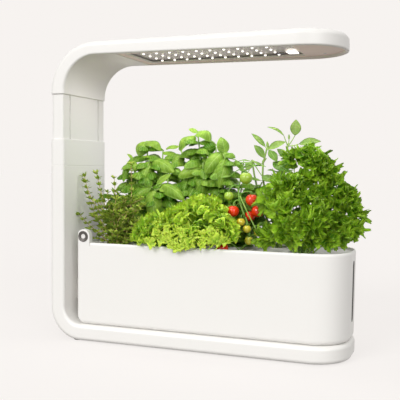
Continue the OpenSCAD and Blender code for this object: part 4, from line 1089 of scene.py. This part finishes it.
# Pixels of a stem's middle and tip, their depth, and how far along its leaves start.
THYME = (
    ((89, 196), (84, 174), -20, 0.1), ((102, 196), (96, 171), -12, 0.1), ((116, 206), (114, 176), -22, 0.1),
    ((132, 200), (131, 162), -28, 0.25), ((90, 226), (78, 213), -26, 0.3), ((96, 216), (90, 202), -18, 0.2),
    ((104, 214), (100, 200), -24, 0.15), ((110, 210), (107, 190), -14, 0.15),
    ((124, 214), (126, 196), -20, 0.15),
    ((130, 222), (138, 206), -26, 0.2), ((136, 228), (148, 218), -30, 0.3), ((100, 232), (88, 228), -34, 0.3),
    ((114, 226), (120, 204), -38, 0.2), ((126, 232), (134, 224), -42, 0.2), ((106, 234), (100, 226), -44, 0.2),
    ((118, 232), (112, 218), -48, 0.2), ((98, 238), (92, 238), -30, 0.3), ((134, 238), (140, 232), -46, 0.2),
    ((120, 216), (118, 192), -10, 0.15), ((98, 222), (92, 214), -10, 0.15), ((128, 218), (134, 198), -14, 0.15),
    ((104, 226), (96, 212), -40, 0.2), ((122, 224), (128, 212), -46, 0.2), ((132, 226), (142, 222), -20, 0.2))
# More stems between them, drawn in towards the pixel column over the pod.
THYME_FILL = 34
THYME_PX = 112
thyme = Plan()
thyme_root = pod("thyme")
fill = []
for _ in range(THYME_FILL):
    tip = (rng.uniform(90, 146), rng.uniform(196, 238))
    middle = ((tip[0] + 3 * THYME_PX) / 4 + rng.normal(0, 2), tip[1] * 0.7 + 73)
    fill.append((middle, tip, rng.uniform(-52, -6), 0.25))
for i, (middle, tip, y, bare) in enumerate(THYME + tuple(fill)):
    a = foot_of(thyme_root, i, 7, -2)
    b, c = seen(*middle, y), seen(*tip, y)
    thyme.stem([a, a.lerp(b, 0.5) + Vector((0, 0, 3)), b, c], 1.0, 0.5, 0.5)
    lower, upper = (b - a).length, (c - b).length
    whorls = int((lower + upper) * (1 - bare) / 9)
    for n in range(whorls):
        t = bare + (1 - bare) * (n + 0.6) / whorls
        s = t * (lower + upper)
        at = a.lerp(b, s / lower) if s < lower else b.lerp(c, (s - lower) / upper)
        along = (c - a).normalized()
        for m in range(8):
            angle = m * math.pi / 4 + n * 1.1 + rng.normal(0, 0.2)
            flat = Vector((math.cos(angle), math.sin(angle), 0))
            way = (flat + along * (0.2 + 0.9 * rng.random())).normalized()
            size = (9.5 - 1.5 * t) * (0.7 + 0.5 * rng.random())
            thyme.leaf(near(at, 0.8), at + way * size, size * 0.42, along, int(rng.integers(0, 2)),
                       0.45 + 0.45 * t + 0.14 * rng.normal())
thyme.grow("thyme_spray", thyme_blades, thyme_leaf, thyme_stem, "pod_thyme", "thyme_leaf", "plant_thyme", 5)


# ---- Sage: upright shoots with long leaves ----
# Matt lance-shaped leaves with a fine pebbled face, on long stalks.
def sage_blade(fold):
    """A lance-shaped leaf, folded along its midrib."""
    def shape(u, v):
        half = 0.02 + 0.5 * max(0, math.sin(math.pi * u ** 0.9)) ** 0.9
        ripple = 0.015 * math.sin(9 * math.pi * (u - 0.2 * abs(v)))
        return u, half * v, 0.12 * math.sin(math.pi * u) + fold * abs(v) * half + ripple
    return shape


sage_blades = [blade(f"sage_{k}", 15, 9, sage_blade(fold), 0.03) for k, fold in enumerate((0.35, 0.0, -0.3))]
# Sage leaf: matt mid green with fine pale veins.
sage_leaf = foliage("sage_leaf", "#6BA42A", "#CDE67E", "#C2DA92", 9.0, 0.5, 8.0)
# Sage stem: dull green.
sage_stem = foliage("sage_stem", "#7FA048", "#A9C273", "#A9C273", 0.0, 0.55)
# Pixel and depth of each leaf's base and tip, then width, facing, blade and tint.
SAGE = (
    ((265.5, 147, 30), (251.5, 133.5, 26), 8, "front", 0, 0.45),
    ((264, 158, 30), (254, 145, 26), 11, "front", 0, 0.4),
    ((268, 149, 28), (286, 142, 24), 11, "front", 0, 0.6),
    ((268, 149, 30), (267, 141, 30), 4, "front", 1, 0.7),
    ((284, 136, 32), (267, 127, 28), 12, "up", 0, 0.42),
    ((295, 135.5, 30), (296, 119.5, 28), 15, "front", 1, 0.6),
    ((299, 144, 28), (321, 141.5, 22), 12, "front", 0, 0.45),
    ((288, 158, 28), (277, 149, 24), 11, "front", 1, 0.35),
    ((269, 150, 24), (277, 162, 16), 12, "front", 1, 0.25),
    ((273, 162, 22), (289, 172, 12), 17, "front", 1, 0.12),
    ((289, 140, 32), (289, 134, 32), 3, "front", 1, 0.7), ((262, 166, 34), (252, 161, 36), 9, "up", 1, 0.5),
    ((252, 162, 38), (246, 170, 34), 10, "front", 1, 0.5),
    ((262, 164, 38), (267, 158, 40), 9, "up", 1, 0.5),
    ((284, 168, 24), (296, 160, 22), 11, "front", 1, 0.4),
    ((262, 176, 26), (274, 182, 18), 13, "front", 1, 0.3))
# Pixel and depth of each shoot's top, and the pixel of its middle.
SAGE_SHOOTS = (
    (267, 148, 29, 260, 176), (288, 146, 30, 281, 170), (252, 160, 37, 256, 186), (289, 160, 28, 282, 180))
sage = Plan()
sage_root = pod("sage")
for i, (px, py, y, mx, my) in enumerate(SAGE_SHOOTS):
    foot = foot_of(sage_root, i, 4, -2)
    sage.stem([foot, seen(mx, my, y), seen(px, py, y)], 1.7, 1.2, 0.5)
    for n in range(5):
        at = foot.lerp(seen(mx, my, y), 0.3 + 0.16 * n)
        for s in (0, math.pi):
            angle = math.pi / 2 * n + s + i
            tip = at + Vector((math.cos(angle), math.sin(angle), 0.25)).normalized() * 26
            sage.leaf(at, tip, 12, "up", int(rng.integers(0, 3)), 0.15 + 0.3 * rng.random())
for base, tip, width, facing, kind, tint in SAGE:
    start = seen(*base)
    apex = min((seen(*s[:3]) for s in SAGE_SHOOTS), key=lambda a: (a - start).length)
    sage.leaf(start, seen(*tip), width, facing, kind, tint)
    sage.stem([apex, apex.lerp(start, 0.5) - Vector((0, 0, 1)), start], 0.9, 0.6, 0.6)
sage.grow("sage_shoots", sage_blades, sage_leaf, sage_stem, "pod_sage", "sage_leaf", "plant_sage", 6)

# ---- Cherry tomato: a truss with fruit from green to red ----
# Glossy round fruit with faint lobes under curly sepals, on a dull green vine.
# Pixel and depth of each fruit's middle, its radius in millimetres and how ripe it is.
FRUIT = (
    (246, 178, -8, 9, 0.05), (229, 196, -12, 6.8, 0.02), (252, 200, -12, 9, 1.0), (258, 211, -14, 9, 1.0),
    (233, 211, -16, 8.5, 1.0), (250, 216, -6, 8, 1.0), (247, 229, -28, 5.8, 0.45), (249, 240.5, -30, 6.2, 0.35),
    (259, 232, -16, 7, 0.4), (222, 248, -42, 8.5, 1.0), (241, 222, -22, 6, 0.5))
# Tomato skin: a thin glossy skin over flesh that runs from green through orange to red.
tomato_skin, tomato_tree, tomato_surface = material("tomato_skin", Roughness=0.16, IOR=1.48, Coat_Weight=0.3)
tomato_surface.inputs["Coat Roughness"].default_value = 0.08
tomato_surface.inputs["Subsurface Weight"].default_value = 0.08
tomato_surface.inputs["Subsurface Scale"].default_value = 2 * MM
ripeness = add(tomato_tree, "ShaderNodeAttribute", attribute_name="tint").outputs[2]
skin_noise = add(tomato_tree, "ShaderNodeTexNoise", {
    "Vector": add(tomato_tree, "ShaderNodeTexCoord").outputs["Object"], "Scale": 1 / (7 * MM), "Detail": 3.0})
skin_level = add(tomato_tree, "ShaderNodeMath", {0: skin_noise.outputs[0], 1: 0.12, 2: ripeness},
                 operation="MULTIPLY_ADD")
ramp = add(tomato_tree, "ShaderNodeValToRGB", {0: skin_level.outputs[0]})
ramp.color_ramp.elements[0].color = linear("#A0BE3C")
ramp.color_ramp.elements[0].position = 0.12
ramp.color_ramp.elements[1].color = linear("#EA3A10")
ramp.color_ramp.elements[1].position = 0.95
for position, colour in ((0.45, "#D3CC3C"), (0.62, "#E3C034"), (0.8, "#EC6A1C")):
    ramp.color_ramp.elements.new(position).color = linear(colour)
tomato_tree.links.new(ramp.outputs[0], tomato_surface.inputs["Base Color"])


def fruit_mesh(bm, centre, r, ripe, layer):
    """A round fruit: a little flat, dimpled at the stalk, with five faint lobes."""
    rows, around = 17, 30
    rings = []
    for i in range(1, rows):
        t = math.pi * i / rows
        dimple = 1 - 0.12 * math.exp(-(t / 0.45) ** 2)
        rings.append([])
        for j in range(around):
            a = math.tau * j / around
            lobe = 1 + 0.02 * math.cos(5 * a) * math.exp(-(t / 0.9) ** 2)
            way = Vector((math.sin(t) * math.cos(a) * lobe, math.sin(t) * math.sin(a) * lobe,
                          0.95 * math.cos(t) * dimple))
            rings[-1].append(bm.verts.new((centre + way * r) * MM))
    ends = [bm.verts.new((centre + Vector((0, 0, z)) * r) * MM) for z in (0.95 * 0.87, -0.95)]
    for low, high in zip(rings, rings[1:]):
        for j in range(around):
            bm.faces.new((low[j - 1], high[j - 1], high[j], low[j]))
    for j in range(around):
        bm.faces.new((ends[0], rings[0][j - 1], rings[0][j]))
        bm.faces.new((ends[1], rings[-1][j], rings[-1][j - 1]))
    for v in [v for row in rings for v in row] + ends:
        v[layer] = ripe


fruit_bm = bmesh.new()
ripe_layer = fruit_bm.verts.layers.float.new("tint")
for px, py, y, r, ripe in FRUIT:
    fruit_mesh(fruit_bm, seen(px, py, y), r, ripe, ripe_layer)
for face in fruit_bm.faces:
    face.smooth = True
fruit = as_object("tomato_fruit", fruit_bm)
finish_piece(fruit, tomato_skin, "pod_tomato", "tomato_red", "tomatoes")


def tomato_blade(u, v):
    """A leaflet with a wavy margin."""
    half = 0.02 + 0.5 * max(0, math.sin(math.pi * u ** 0.8))
    return u, half * v * (0.85 + 0.15 * math.cos(18 * u)), 0.1 * math.sin(3 * u) - 0.1 * v * v


def sepal(u, v):
    """A narrow sepal that curls up at its tip."""
    return u, (0.12 * (1 - u) + 0.01) * v, 0.5 * u * u * math.sin(2.2 * u)


tomato_blades = [blade("tomato_a", 9, 7, tomato_blade, 0.03), blade("tomato_b_sepal", 7, 4, sepal, 0.04)]
# Tomato leaf: matt green.
tomato_leaf = foliage("tomato_leaf", "#62A028", "#B9DD66", "#B5D680", 6.0, 0.5)
# Tomato stem: darker green and dull.
tomato_stem = foliage("tomato_stem", "#4C8A30", "#9CBF5C", "#9CBF5C", 0.0, 0.55)
# Pixel and depth of each tuft of leaflets; those from TOMATO_BEHIND on are larger and fill the back.
TOMATO_BEHIND = 10
TOMATO_LEAVES = ((237, 163, 4), (244, 160, 6), (251, 163, 4), (258, 165, 8), (240, 170, 0), (262, 196, -6),
                 (236, 206, -8), (262, 222, -10), (243, 208, -8), (230, 176, 2), (236, 186, 0), (238, 200, 14),
                 (250, 192, 18), (262, 206, 16), (240, 215, 12), (256, 222, 12), (248, 230, 6), (236, 228, 4),
                 (264, 214, 10), (258, 238, 2), (244, 240, 0), (232, 218, 14), (254, 204, 14), (266, 230, 2))
tomato = Plan()
tomato_root = pod("tomato")
vine = [tomato_root, seen(253, 238, -16), seen(240, 204, -14), seen(238, 190, -4), seen(243, 168, 2)]
tomato.stem(vine, 1.6, 1.1, 0.6)
tomato.stem([seen(240, 196, -14), seen(248, 214, -26), seen(257, 231, -30)], 1.0, 0.8, 0.8)
joints = [vine[n].lerp(vine[n + 1], s) for n in range(4) for s in (0.2, 0.6)]
for k, (px, py, y, r, ripe) in enumerate(FRUIT):
    centre = seen(px, py, y)
    crown = centre + Vector((0, 0, 0.83 * r))
    joint = min(joints, key=lambda p: (p - crown - Vector((0, 0, 6))).length)
    knee = joint.lerp(crown, 0.4) + Vector((0, -1, 5))
    tomato.stem([crown, crown + Vector((0.5, -0.5, 4)), knee, joint], 0.8, 0.8)
    for m in range(5):
        angle = m * math.tau / 5 + k
        way = Vector((math.cos(angle), math.sin(angle), 0.12))
        tomato.leaf(crown + way * 0.5, crown + way * r * 1.15, r * 1.2, "up", 1, 0.4)
for i, place in enumerate(TOMATO_LEAVES):
    at = seen(*place)
    joint = min(vine, key=lambda p: (p - at).length)
    tomato.stem([joint, joint.lerp(at, 0.5) + Vector((0, 0, 2)), at], 0.8, 0.5, 0.6)
    size, facing, dark = (13, "up", 0.35) if place[2] < TOMATO_BEHIND else (20, "front", 0.1)
    for m in range(3):
        angle = 0.9 * (m - 1) + 1.7 * i
        way = Vector((math.cos(angle), math.sin(angle), 0.2 * (m == 1) - 0.15))
        tomato.leaf(at, at + way * size, size * 0.6, facing, 0, dark + 0.3 * rng.random())
tomato.grow("tomato_truss", tomato_blades, tomato_leaf, tomato_stem, "pod_tomato", "tomato_vine",
            "plant_tomato", 6)

# ---- Lamp: board, LEDs, window and cover ----
# A white-masked aluminium board carries ten by four LED packages, each a ceramic body under a glowing lens,
# behind a clear acrylic window. A glowing patch of painted glare and a dark sensor end the rows.
LED_COLUMNS = 10
LED_ROWS = 4
# The picture shows the rear row this much further back than the CAD has it.
LED_SPREAD = 5
LED_X = 3.5
LED_Y = 2.8
LED_EDGE = 0.12
# Radius and height of each ring of a lens, then low corner, high corner and drop of the two small parts.
LED_LENS = ((0.03, -1.7), (0.8, -1.6), (1.4, -1.25), (1.75, -0.75), (1.9, -0.2), (1.9, 0))
GLOWING_PATCH = ((116, 10), (130, 30), 1.5)
SENSOR = ((99, 22), (110, 30), 0.9)
EXTRA_EDGE = 0.4
# The white lip round the board: how far inside the window it starts, and how wide it is.
GASKET_IN = 3
GASKET_W = 2.5
GASKET_LEAD = 0.4


def turned(name, profile, centre, axis="Z", sides=64, hollow=False):
    """A part turned about a line through the centre; profile gives radii and their places along the line."""
    around = np.arange(sides) * math.tau / sides
    def at(r, t, a):
        x, y = r * math.cos(a), r * math.sin(a)
        return Vector(centre) + Vector((x, t, y) if axis == "Y" else (x, y, t))

    loops = [[at(r, t, a) for a in around] for r, t in profile]
    return as_object(name, loft(loops + loops[:1], False) if hollow else loft(loops))


def bevelled(name, low, high, width):
    """A box with rounded edges."""
    made = block(low, high)
    made.name = name
    edges = made.modifiers.new("edges", "BEVEL")
    edges.width = width * MM
    edges.segments = 3
    apply_modifiers(made)
    return made


def stock(made):
    """Takes a small part out of the scene, to be set on a plan's points at its own size."""
    bpy.context.scene.collection.objects.unlink(made)
    return made


def metal(name, colour, roughness, brushed=(1, 1, 1), grain=0.1):
    """A bare metal whose finish shows fine scratches along the axis with the smallest number."""
    made, tree, surface = material(name, Metallic=1.0, Roughness=roughness)
    place = add(tree, "ShaderNodeTexCoord").outputs["Object"]
    drawn = add(tree, "ShaderNodeVectorMath", {0: place, 1: brushed}, operation="MULTIPLY")
    lines = add(tree, "ShaderNodeTexNoise", {
        "Vector": drawn.outputs[0], "Scale": 1 / (0.6 * MM), "Detail": 2.0})
    light = linear(colour)
    dark = [c * 0.86 for c in light[:3]] + [1.0]
    mixed = add(tree, "ShaderNodeMix", {0: lines.outputs[0], 6: dark, 7: light}, data_type="RGBA")
    tree.links.new(mixed.outputs[2], surface.inputs["Base Color"])
    bump = add(tree, "ShaderNodeBump", {
        "Strength": grain, "Distance": GRAIN_DEEP * MM, "Height": lines.outputs[0]})
    tree.links.new(bump.outputs[0], surface.inputs["Normal"])
    return made


def finish_nodes(finish, *nodes):
    """Gives CAD nodes that stay as they are their material."""
    for node in nodes:
        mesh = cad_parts[node].data
        mesh.materials.clear()
        mesh.materials.append(finish)


# Ceramic: dead white and slightly rough, so that only the lenses look lit.
white_ceramic = moulded("white_ceramic", "#EDEBE6", 0.45, 0.4)
# Lit silicone: the brightest thing in the picture, a little warm, seen as small round dots. On the glowing
# patch it is painted glare.
lit_silicone, lit_tree, lit_surface = material("lit_silicone", Roughness=0.3, Emission_Strength=1.6)
warmth = add(lit_tree, "ShaderNodeTexNoise", {
    "Vector": add(lit_tree, "ShaderNodeTexCoord").outputs["Object"], "Scale": 1 / (4 * MM)})
warm = add(lit_tree, "ShaderNodeMix", {0: warmth.outputs[0], 6: linear("#FFF6E8"), 7: linear("#FFFFFF")},
           data_type="RGBA")
for socket in ("Base Color", "Emission Color"):
    lit_tree.links.new(warm.outputs[2], lit_surface.inputs[socket])
# Black PVC: the soft dark of cables and small housings.
black_pvc = moulded("black_pvc", "#222224", 0.45, 0.5, 0.15, 0.8)
leds_lo, leds_hi = extent("leds")
led_bodies, led_lenses = Plan(), Plan()
for x in np.linspace(leds_lo.x + LED_X / 2, leds_hi.x - LED_X / 2, LED_COLUMNS):
    for y in np.linspace(leds_lo.y + LED_Y / 2, leds_hi.y - LED_Y / 2 + LED_SPREAD, LED_ROWS):
        led_bodies.point((x, y, leds_hi.z), 0, size=(1 / MM,) * 3)
        led_lenses.point((x, y, lens_lo.z), 0, size=(1 / MM,) * 3)
led_low, led_high = (-LED_X / 2, -LED_Y / 2, leds_lo.z - leds_hi.z), (LED_X / 2, LED_Y / 2, 0)
led_body = stock(bevelled("led_body", led_low, led_high, LED_EDGE))
led_dome = stock(turned("led_dome", LED_LENS, (0, 0, 0), sides=16))
led_bodies.grow("led_packages", [led_body], white_ceramic, white_ceramic, "lamp", "led_white", "leds")
led_lenses.grow("led_domes", [led_dome], lit_silicone, lit_silicone, "lamp", "led_white", "leds")
# The glowing patch is painted glare: a small block made to glow like the LEDs, though it is no lamp.
for name, finish, ((x0, y0), (x1, y1), drop), slot_name in (
        ("lamp_diffuser", lit_silicone, GLOWING_PATCH, "led_white"),
        ("lamp_sensor", black_pvc, SENSOR, "black_plastic")):
    extra = bevelled(name, (x0, y0, lens_lo.z - drop), (x1, y1, lens_lo.z), EXTRA_EDGE)
    finish_piece(extra, finish, "lamp", slot_name)
gasket_x, gasket_y = (lens_hi.x - lens_lo.x) / 2 - GASKET_IN, (lens_hi.y - lens_lo.y) / 2 - GASKET_IN
lens_mid = (lens_lo + lens_hi) / 2
gasket_section = ((0, lens_lo.z), (GASKET_W, lens_lo.z), (GASKET_LEAD, arm_z + TOUCH), (0, arm_z + TOUCH),
                  (0, lens_lo.z))
gasket_loops = [[(lens_mid.x + sx * (gasket_x - w), sy * (gasket_y - w), z)
                 for sx, sy in ((-1, -1), (1, -1), (1, 1), (-1, 1))] for w, z in gasket_section]
gasket = as_object("lens_gasket", loft(gasket_loops, capped=False))
finish_piece(gasket, white_abs, "lamp", "white_gloss")

# Solder mask: a flat pale grey face with a faint grid, which sets off the dots.
solder_mask = moulded("solder_mask", "#C2B8B2", 0.4, 2.5, 0.2, 0.9)
# Clear acrylic: almost unseen, it only lays a soft sheen over the board.
clear_acrylic = moulded("clear_acrylic", "#F4F6F6", 0.12, 6.0, 0.02, 0.99)
clear_acrylic.node_tree.nodes["Principled BSDF"].inputs["Alpha"].default_value = 0.16
# Rolled aluminium: cool and streaked along the arm.
aluminium = metal("rolled_aluminium", "#D0D0D2", 0.38, (0.05, 1, 1))
# Satin steel for screws and pins: a grey that turns bright at its edges.
steel = metal("satin_steel", "#B8B7B5", 0.3)
# Matt ABS: the plainer white of covers and inner parts, without the shell's gloss.
matt_abs = moulded("matt_abs", "#E7E4E0", 0.5, 0.8, 0.12, 0.97)
finish_nodes(solder_mask, "led_board")
finish_nodes(clear_acrylic, "led_lens")
finish_nodes(aluminium, "heat_spreader")
finish_nodes(steel, "arm_screws", "flap_pin")
# Painted shade tint: the cover over the lamp is white ABS, tinted pink so that its shade reads warm grey and
# not the plants' green.
warm_abs = moulded("warm_abs", "#F6E2DA", 0.5, 0.8, 0.12, 0.97)
finish_nodes(warm_abs, "arm_underside")
finish_nodes(matt_abs, "bottom_cover", "dock_block", "deck", "fill_flap")
finish_nodes(black_pvc, "lamp_lead", "lamp_coil_lead", "base_leads", "tank_leads", "dc_socket", "button_switch",
             "pump_housing", "pump_rotor")

# ---- Button in the ear ----
# A turned steel bezel with a dished face, pressed into the ear, and a white cap that sits in its bore.
# Its switch behind stays as the CAD has it.
BEZEL_R = 7.8
BEZEL_BORE_R = 3.7
BEZEL_BARREL_R = 5.8
CAP_R = 3.4
bezel_lo, bezel_hi = extent("button_bezel")
cap_lo, cap_hi = extent("button_cap")
bezel_back = bezel_hi.y + tank_y
lip = -tank_y - bezel_lo.y
# Radii of the ring's face from its bore outwards, and how far each stands out, as a share of the lip.
BEZEL_FACE = ((6.4, 0.6), (6.8, 0.92), (7.05, 1), (7.4, 1), (7.65, 0.88), (BEZEL_R, 0.6), (BEZEL_R, 0))
bezel = turned("bezel_ring", [
    (BEZEL_BORE_R, bezel_back), (BEZEL_BORE_R, -0.1), (BEZEL_BORE_R + 0.2, -0.25),
    *((r, -share * lip) for r, share in BEZEL_FACE),
    (BEZEL_BARREL_R, 0), (BEZEL_BARREL_R, bezel_back)], (ear_x, -tank_y, ear_z), "Y", hollow=True)
soften(bezel)
# Bead-blasted steel: a dark grey ring with a soft highlight.
bezel_steel = metal("blasted_steel", "#63605D", 0.36)
finish_piece(bezel, bezel_steel, "tank", "bezel_steel", "button_bezel")
cap_deep = cap_hi.y - cap_lo.y
cap = turned("cap_dished", [
    (CAP_R, cap_deep), (CAP_R, 0.5), (CAP_R - 0.15, 0.15), (CAP_R - 0.5, 0.02), (CAP_R - 0.9, 0),
    (1.9, 0.1), (1.1, 0.2), (0.05, 0.22)], (ear_x, cap_lo.y, ear_z), "Y")
soften(cap)
finish_piece(cap, matt_abs, "button", "cover_white", "button_cap")

# ---- Inner parts that stay as the CAD has them ----
# Feet, clips, pump, window and float, each in the stuff it is made of: rubber, ABS, FR4 board, brass,
# smoked acrylic and foam.
# Rubber: dead matt and dark grey.
rubber = moulded("grey_rubber", "#3A3A3B", 0.85, 0.4, 0.3, 0.85)
# Grey ABS: a mid grey with a matt moulded grain.
grey_abs = moulded("grey_abs", "#A19F9D", 0.55, 0.8, 0.15, 0.95)
# Green solder mask over glass cloth: its weave shows faintly.
green_board = moulded("green_board", "#1F6B40", 0.35, 0.9, 0.25, 0.75)
# Brass: yellow, with wiping marks up and down.
brass = metal("wiped_brass", "#C9A25A", 0.3, (1, 1, 0.1))
# Smoked acrylic: near black and matt, so the slot reads as one dark line.
smoked_acrylic = moulded("smoked_acrylic", "#2B2725", 0.75, 6.0, 0.02, 0.9)
# Closed-cell foam: bright orange with a pebbled skin.
orange_foam = moulded("orange_foam", "#DE6A1E", 0.7, 1.0, 0.5, 0.88)
finish_nodes(rubber, "feet", "mast_shoe")
finish_nodes(grey_abs, "coil_clip", "contact_plate", "pump_cover", "pump_riser", "float_guide")
finish_nodes(green_board, "control_board")
finish_nodes(brass, "dock_contacts")
finish_nodes(smoked_acrylic, "level_window")
finish_nodes(orange_foam, "float")

# ---- Pods: baskets and sponges ----
# Open polypropylene baskets that hang in the deck, each round a plug of porous peat foam.
# Both stay as the CAD has them.
# Polypropylene: waxy and a touch translucent to the eye.
waxy_pp = moulded("waxy_polypropylene", "#E4E1DB", 0.42, 1.0, 0.08, 0.96)
# Peat foam: dark brown and full of pores.
peat_foam = moulded("peat_foam", "#5A4632", 0.95, 1.4, 1.0, 0.45)
finish_nodes(waxy_pp, *["basket_" + plant for plant in PODS])
finish_nodes(peat_foam, *["sponge_" + plant for plant in PODS])

# ---- Stage: floor, backdrop and light ----
# A pale floor and a backdrop of the same colour, two broad soft lights from the front, a white room, the
# lamp's own light and what the room throws back up at the arm.
# The camera sees the floor mostly as backdrop, with a thin shadow; it throws back less light than it shows.
BACKDROP = "#F7F3F0"
FLOOR_BOUNCE = "#807C78"
SHADOW_SHARE = 0.2
FLOOR_GLOW = 1.03
ROOM_LIGHT = 0.5
SUNS = (("left_light", (-0.35, -0.80, 0.48), 1.8), ("right_light", (0.62, -0.70, 0.36), 1.2))
SUN_ANGLE = 32
LAMP_POWER = 0.32
LAMP_PANEL = (0.22, 0.08)
LAMP_BELOW = 4
BOUNCE_POWER = 0.035
BOUNCE_PANEL = (0.34, 0.09)
BOUNCE_BELOW = 105
BOUNCE_COLOUR = "#FFD2D8"


def seen_rays(tree):
    """1 for rays from the camera and those that mirrors and glass pass on, 0 for those that light things."""
    path = add(tree, "ShaderNodeLightPath").outputs
    mask = path["Is Camera Ray"]
    for kind in ("Is Glossy Ray", "Is Transmission Ray"):
        mask = add(tree, "ShaderNodeMath", {0: mask, 1: path[kind]}, operation="MAXIMUM").outputs[0]
    return mask


world = bpy.data.worlds.new("white_room")
bpy.context.scene.world = world
world.use_nodes = True
room = world.node_tree
lit = add(room, "ShaderNodeBackground", {"Color": linear("#FFFFFF"), "Strength": ROOM_LIGHT})
shown = add(room, "ShaderNodeBackground", {"Color": linear(BACKDROP), "Strength": 1.0})
both = add(room, "ShaderNodeMixShader", {0: seen_rays(room), 1: lit.outputs[0], 2: shown.outputs[0]})
room.links.new(both.outputs[0], room.nodes["World Output"].inputs["Surface"])

# Floor paint: matt white that shows a thin shadow.
floor_paint, floor_tree, floor_surface = material("floor_paint", Roughness=0.9, Specular_IOR_Level=0.0)
floor_surface.inputs["Base Color"].default_value = linear(FLOOR_BOUNCE)
open_floor = add(floor_tree, "ShaderNodeBsdfDiffuse", {"Color": linear("#F3EFEC")})
glow = add(floor_tree, "ShaderNodeEmission", {"Color": linear(BACKDROP), "Strength": FLOOR_GLOW})
shaded = add(floor_tree, "ShaderNodeMixShader", {0: SHADOW_SHARE, 1: glow.outputs[0], 2: open_floor.outputs[0]})
paint = add(floor_tree, "ShaderNodeMixShader", {
    0: seen_rays(floor_tree), 1: floor_surface.outputs[0], 2: shaded.outputs[0]})
floor_tree.links.new(paint.outputs[0], floor_tree.nodes["Material Output"].inputs["Surface"])
floor_bm = bmesh.new()
bmesh.ops.create_circle(floor_bm, cap_ends=True, segments=96, radius=30)
floor = as_object("floor", floor_bm)
floor.data.materials.append(floor_paint)


def panel_light(name, size, energy, below):
    """A soft rectangular light that shines down, so far below the middle of the lamp's window."""
    made = bpy.data.objects.new(name, bpy.data.lights.new(name, "AREA"))
    made.data.shape = "RECTANGLE"
    made.data.size, made.data.size_y = size
    made.data.energy = energy
    made.location = (lens_mid.x * MM, lens_mid.y * MM, (lens_lo.z - below) * MM)
    made.visible_camera = False
    bpy.context.scene.collection.objects.link(made)
    return made


# The lamp's own light shines down on the plants.
panel_light("lamp_light", LAMP_PANEL, LAMP_POWER, LAMP_BELOW)
# Light that a white room throws back up takes the plants' green off the arm's underside.
bounce_light = panel_light("bounce_light", BOUNCE_PANEL, BOUNCE_POWER, BOUNCE_BELOW)
bounce_light.data.color = linear(BOUNCE_COLOUR)[:3]
bounce_light.rotation_euler = (math.pi, 0, 0)
bounce_light.visible_glossy = False
for name, way, energy in SUNS:
    sun = bpy.data.objects.new(name, bpy.data.lights.new(name, "SUN"))
    sun.data.energy = energy
    sun.data.angle = math.radians(SUN_ANGLE)
    sun.rotation_euler = Vector(way).to_track_quat("Z", "Y").to_euler()
    bpy.context.scene.collection.objects.link(sun)
bpy.context.scene.view_settings.view_transform = "Standard"
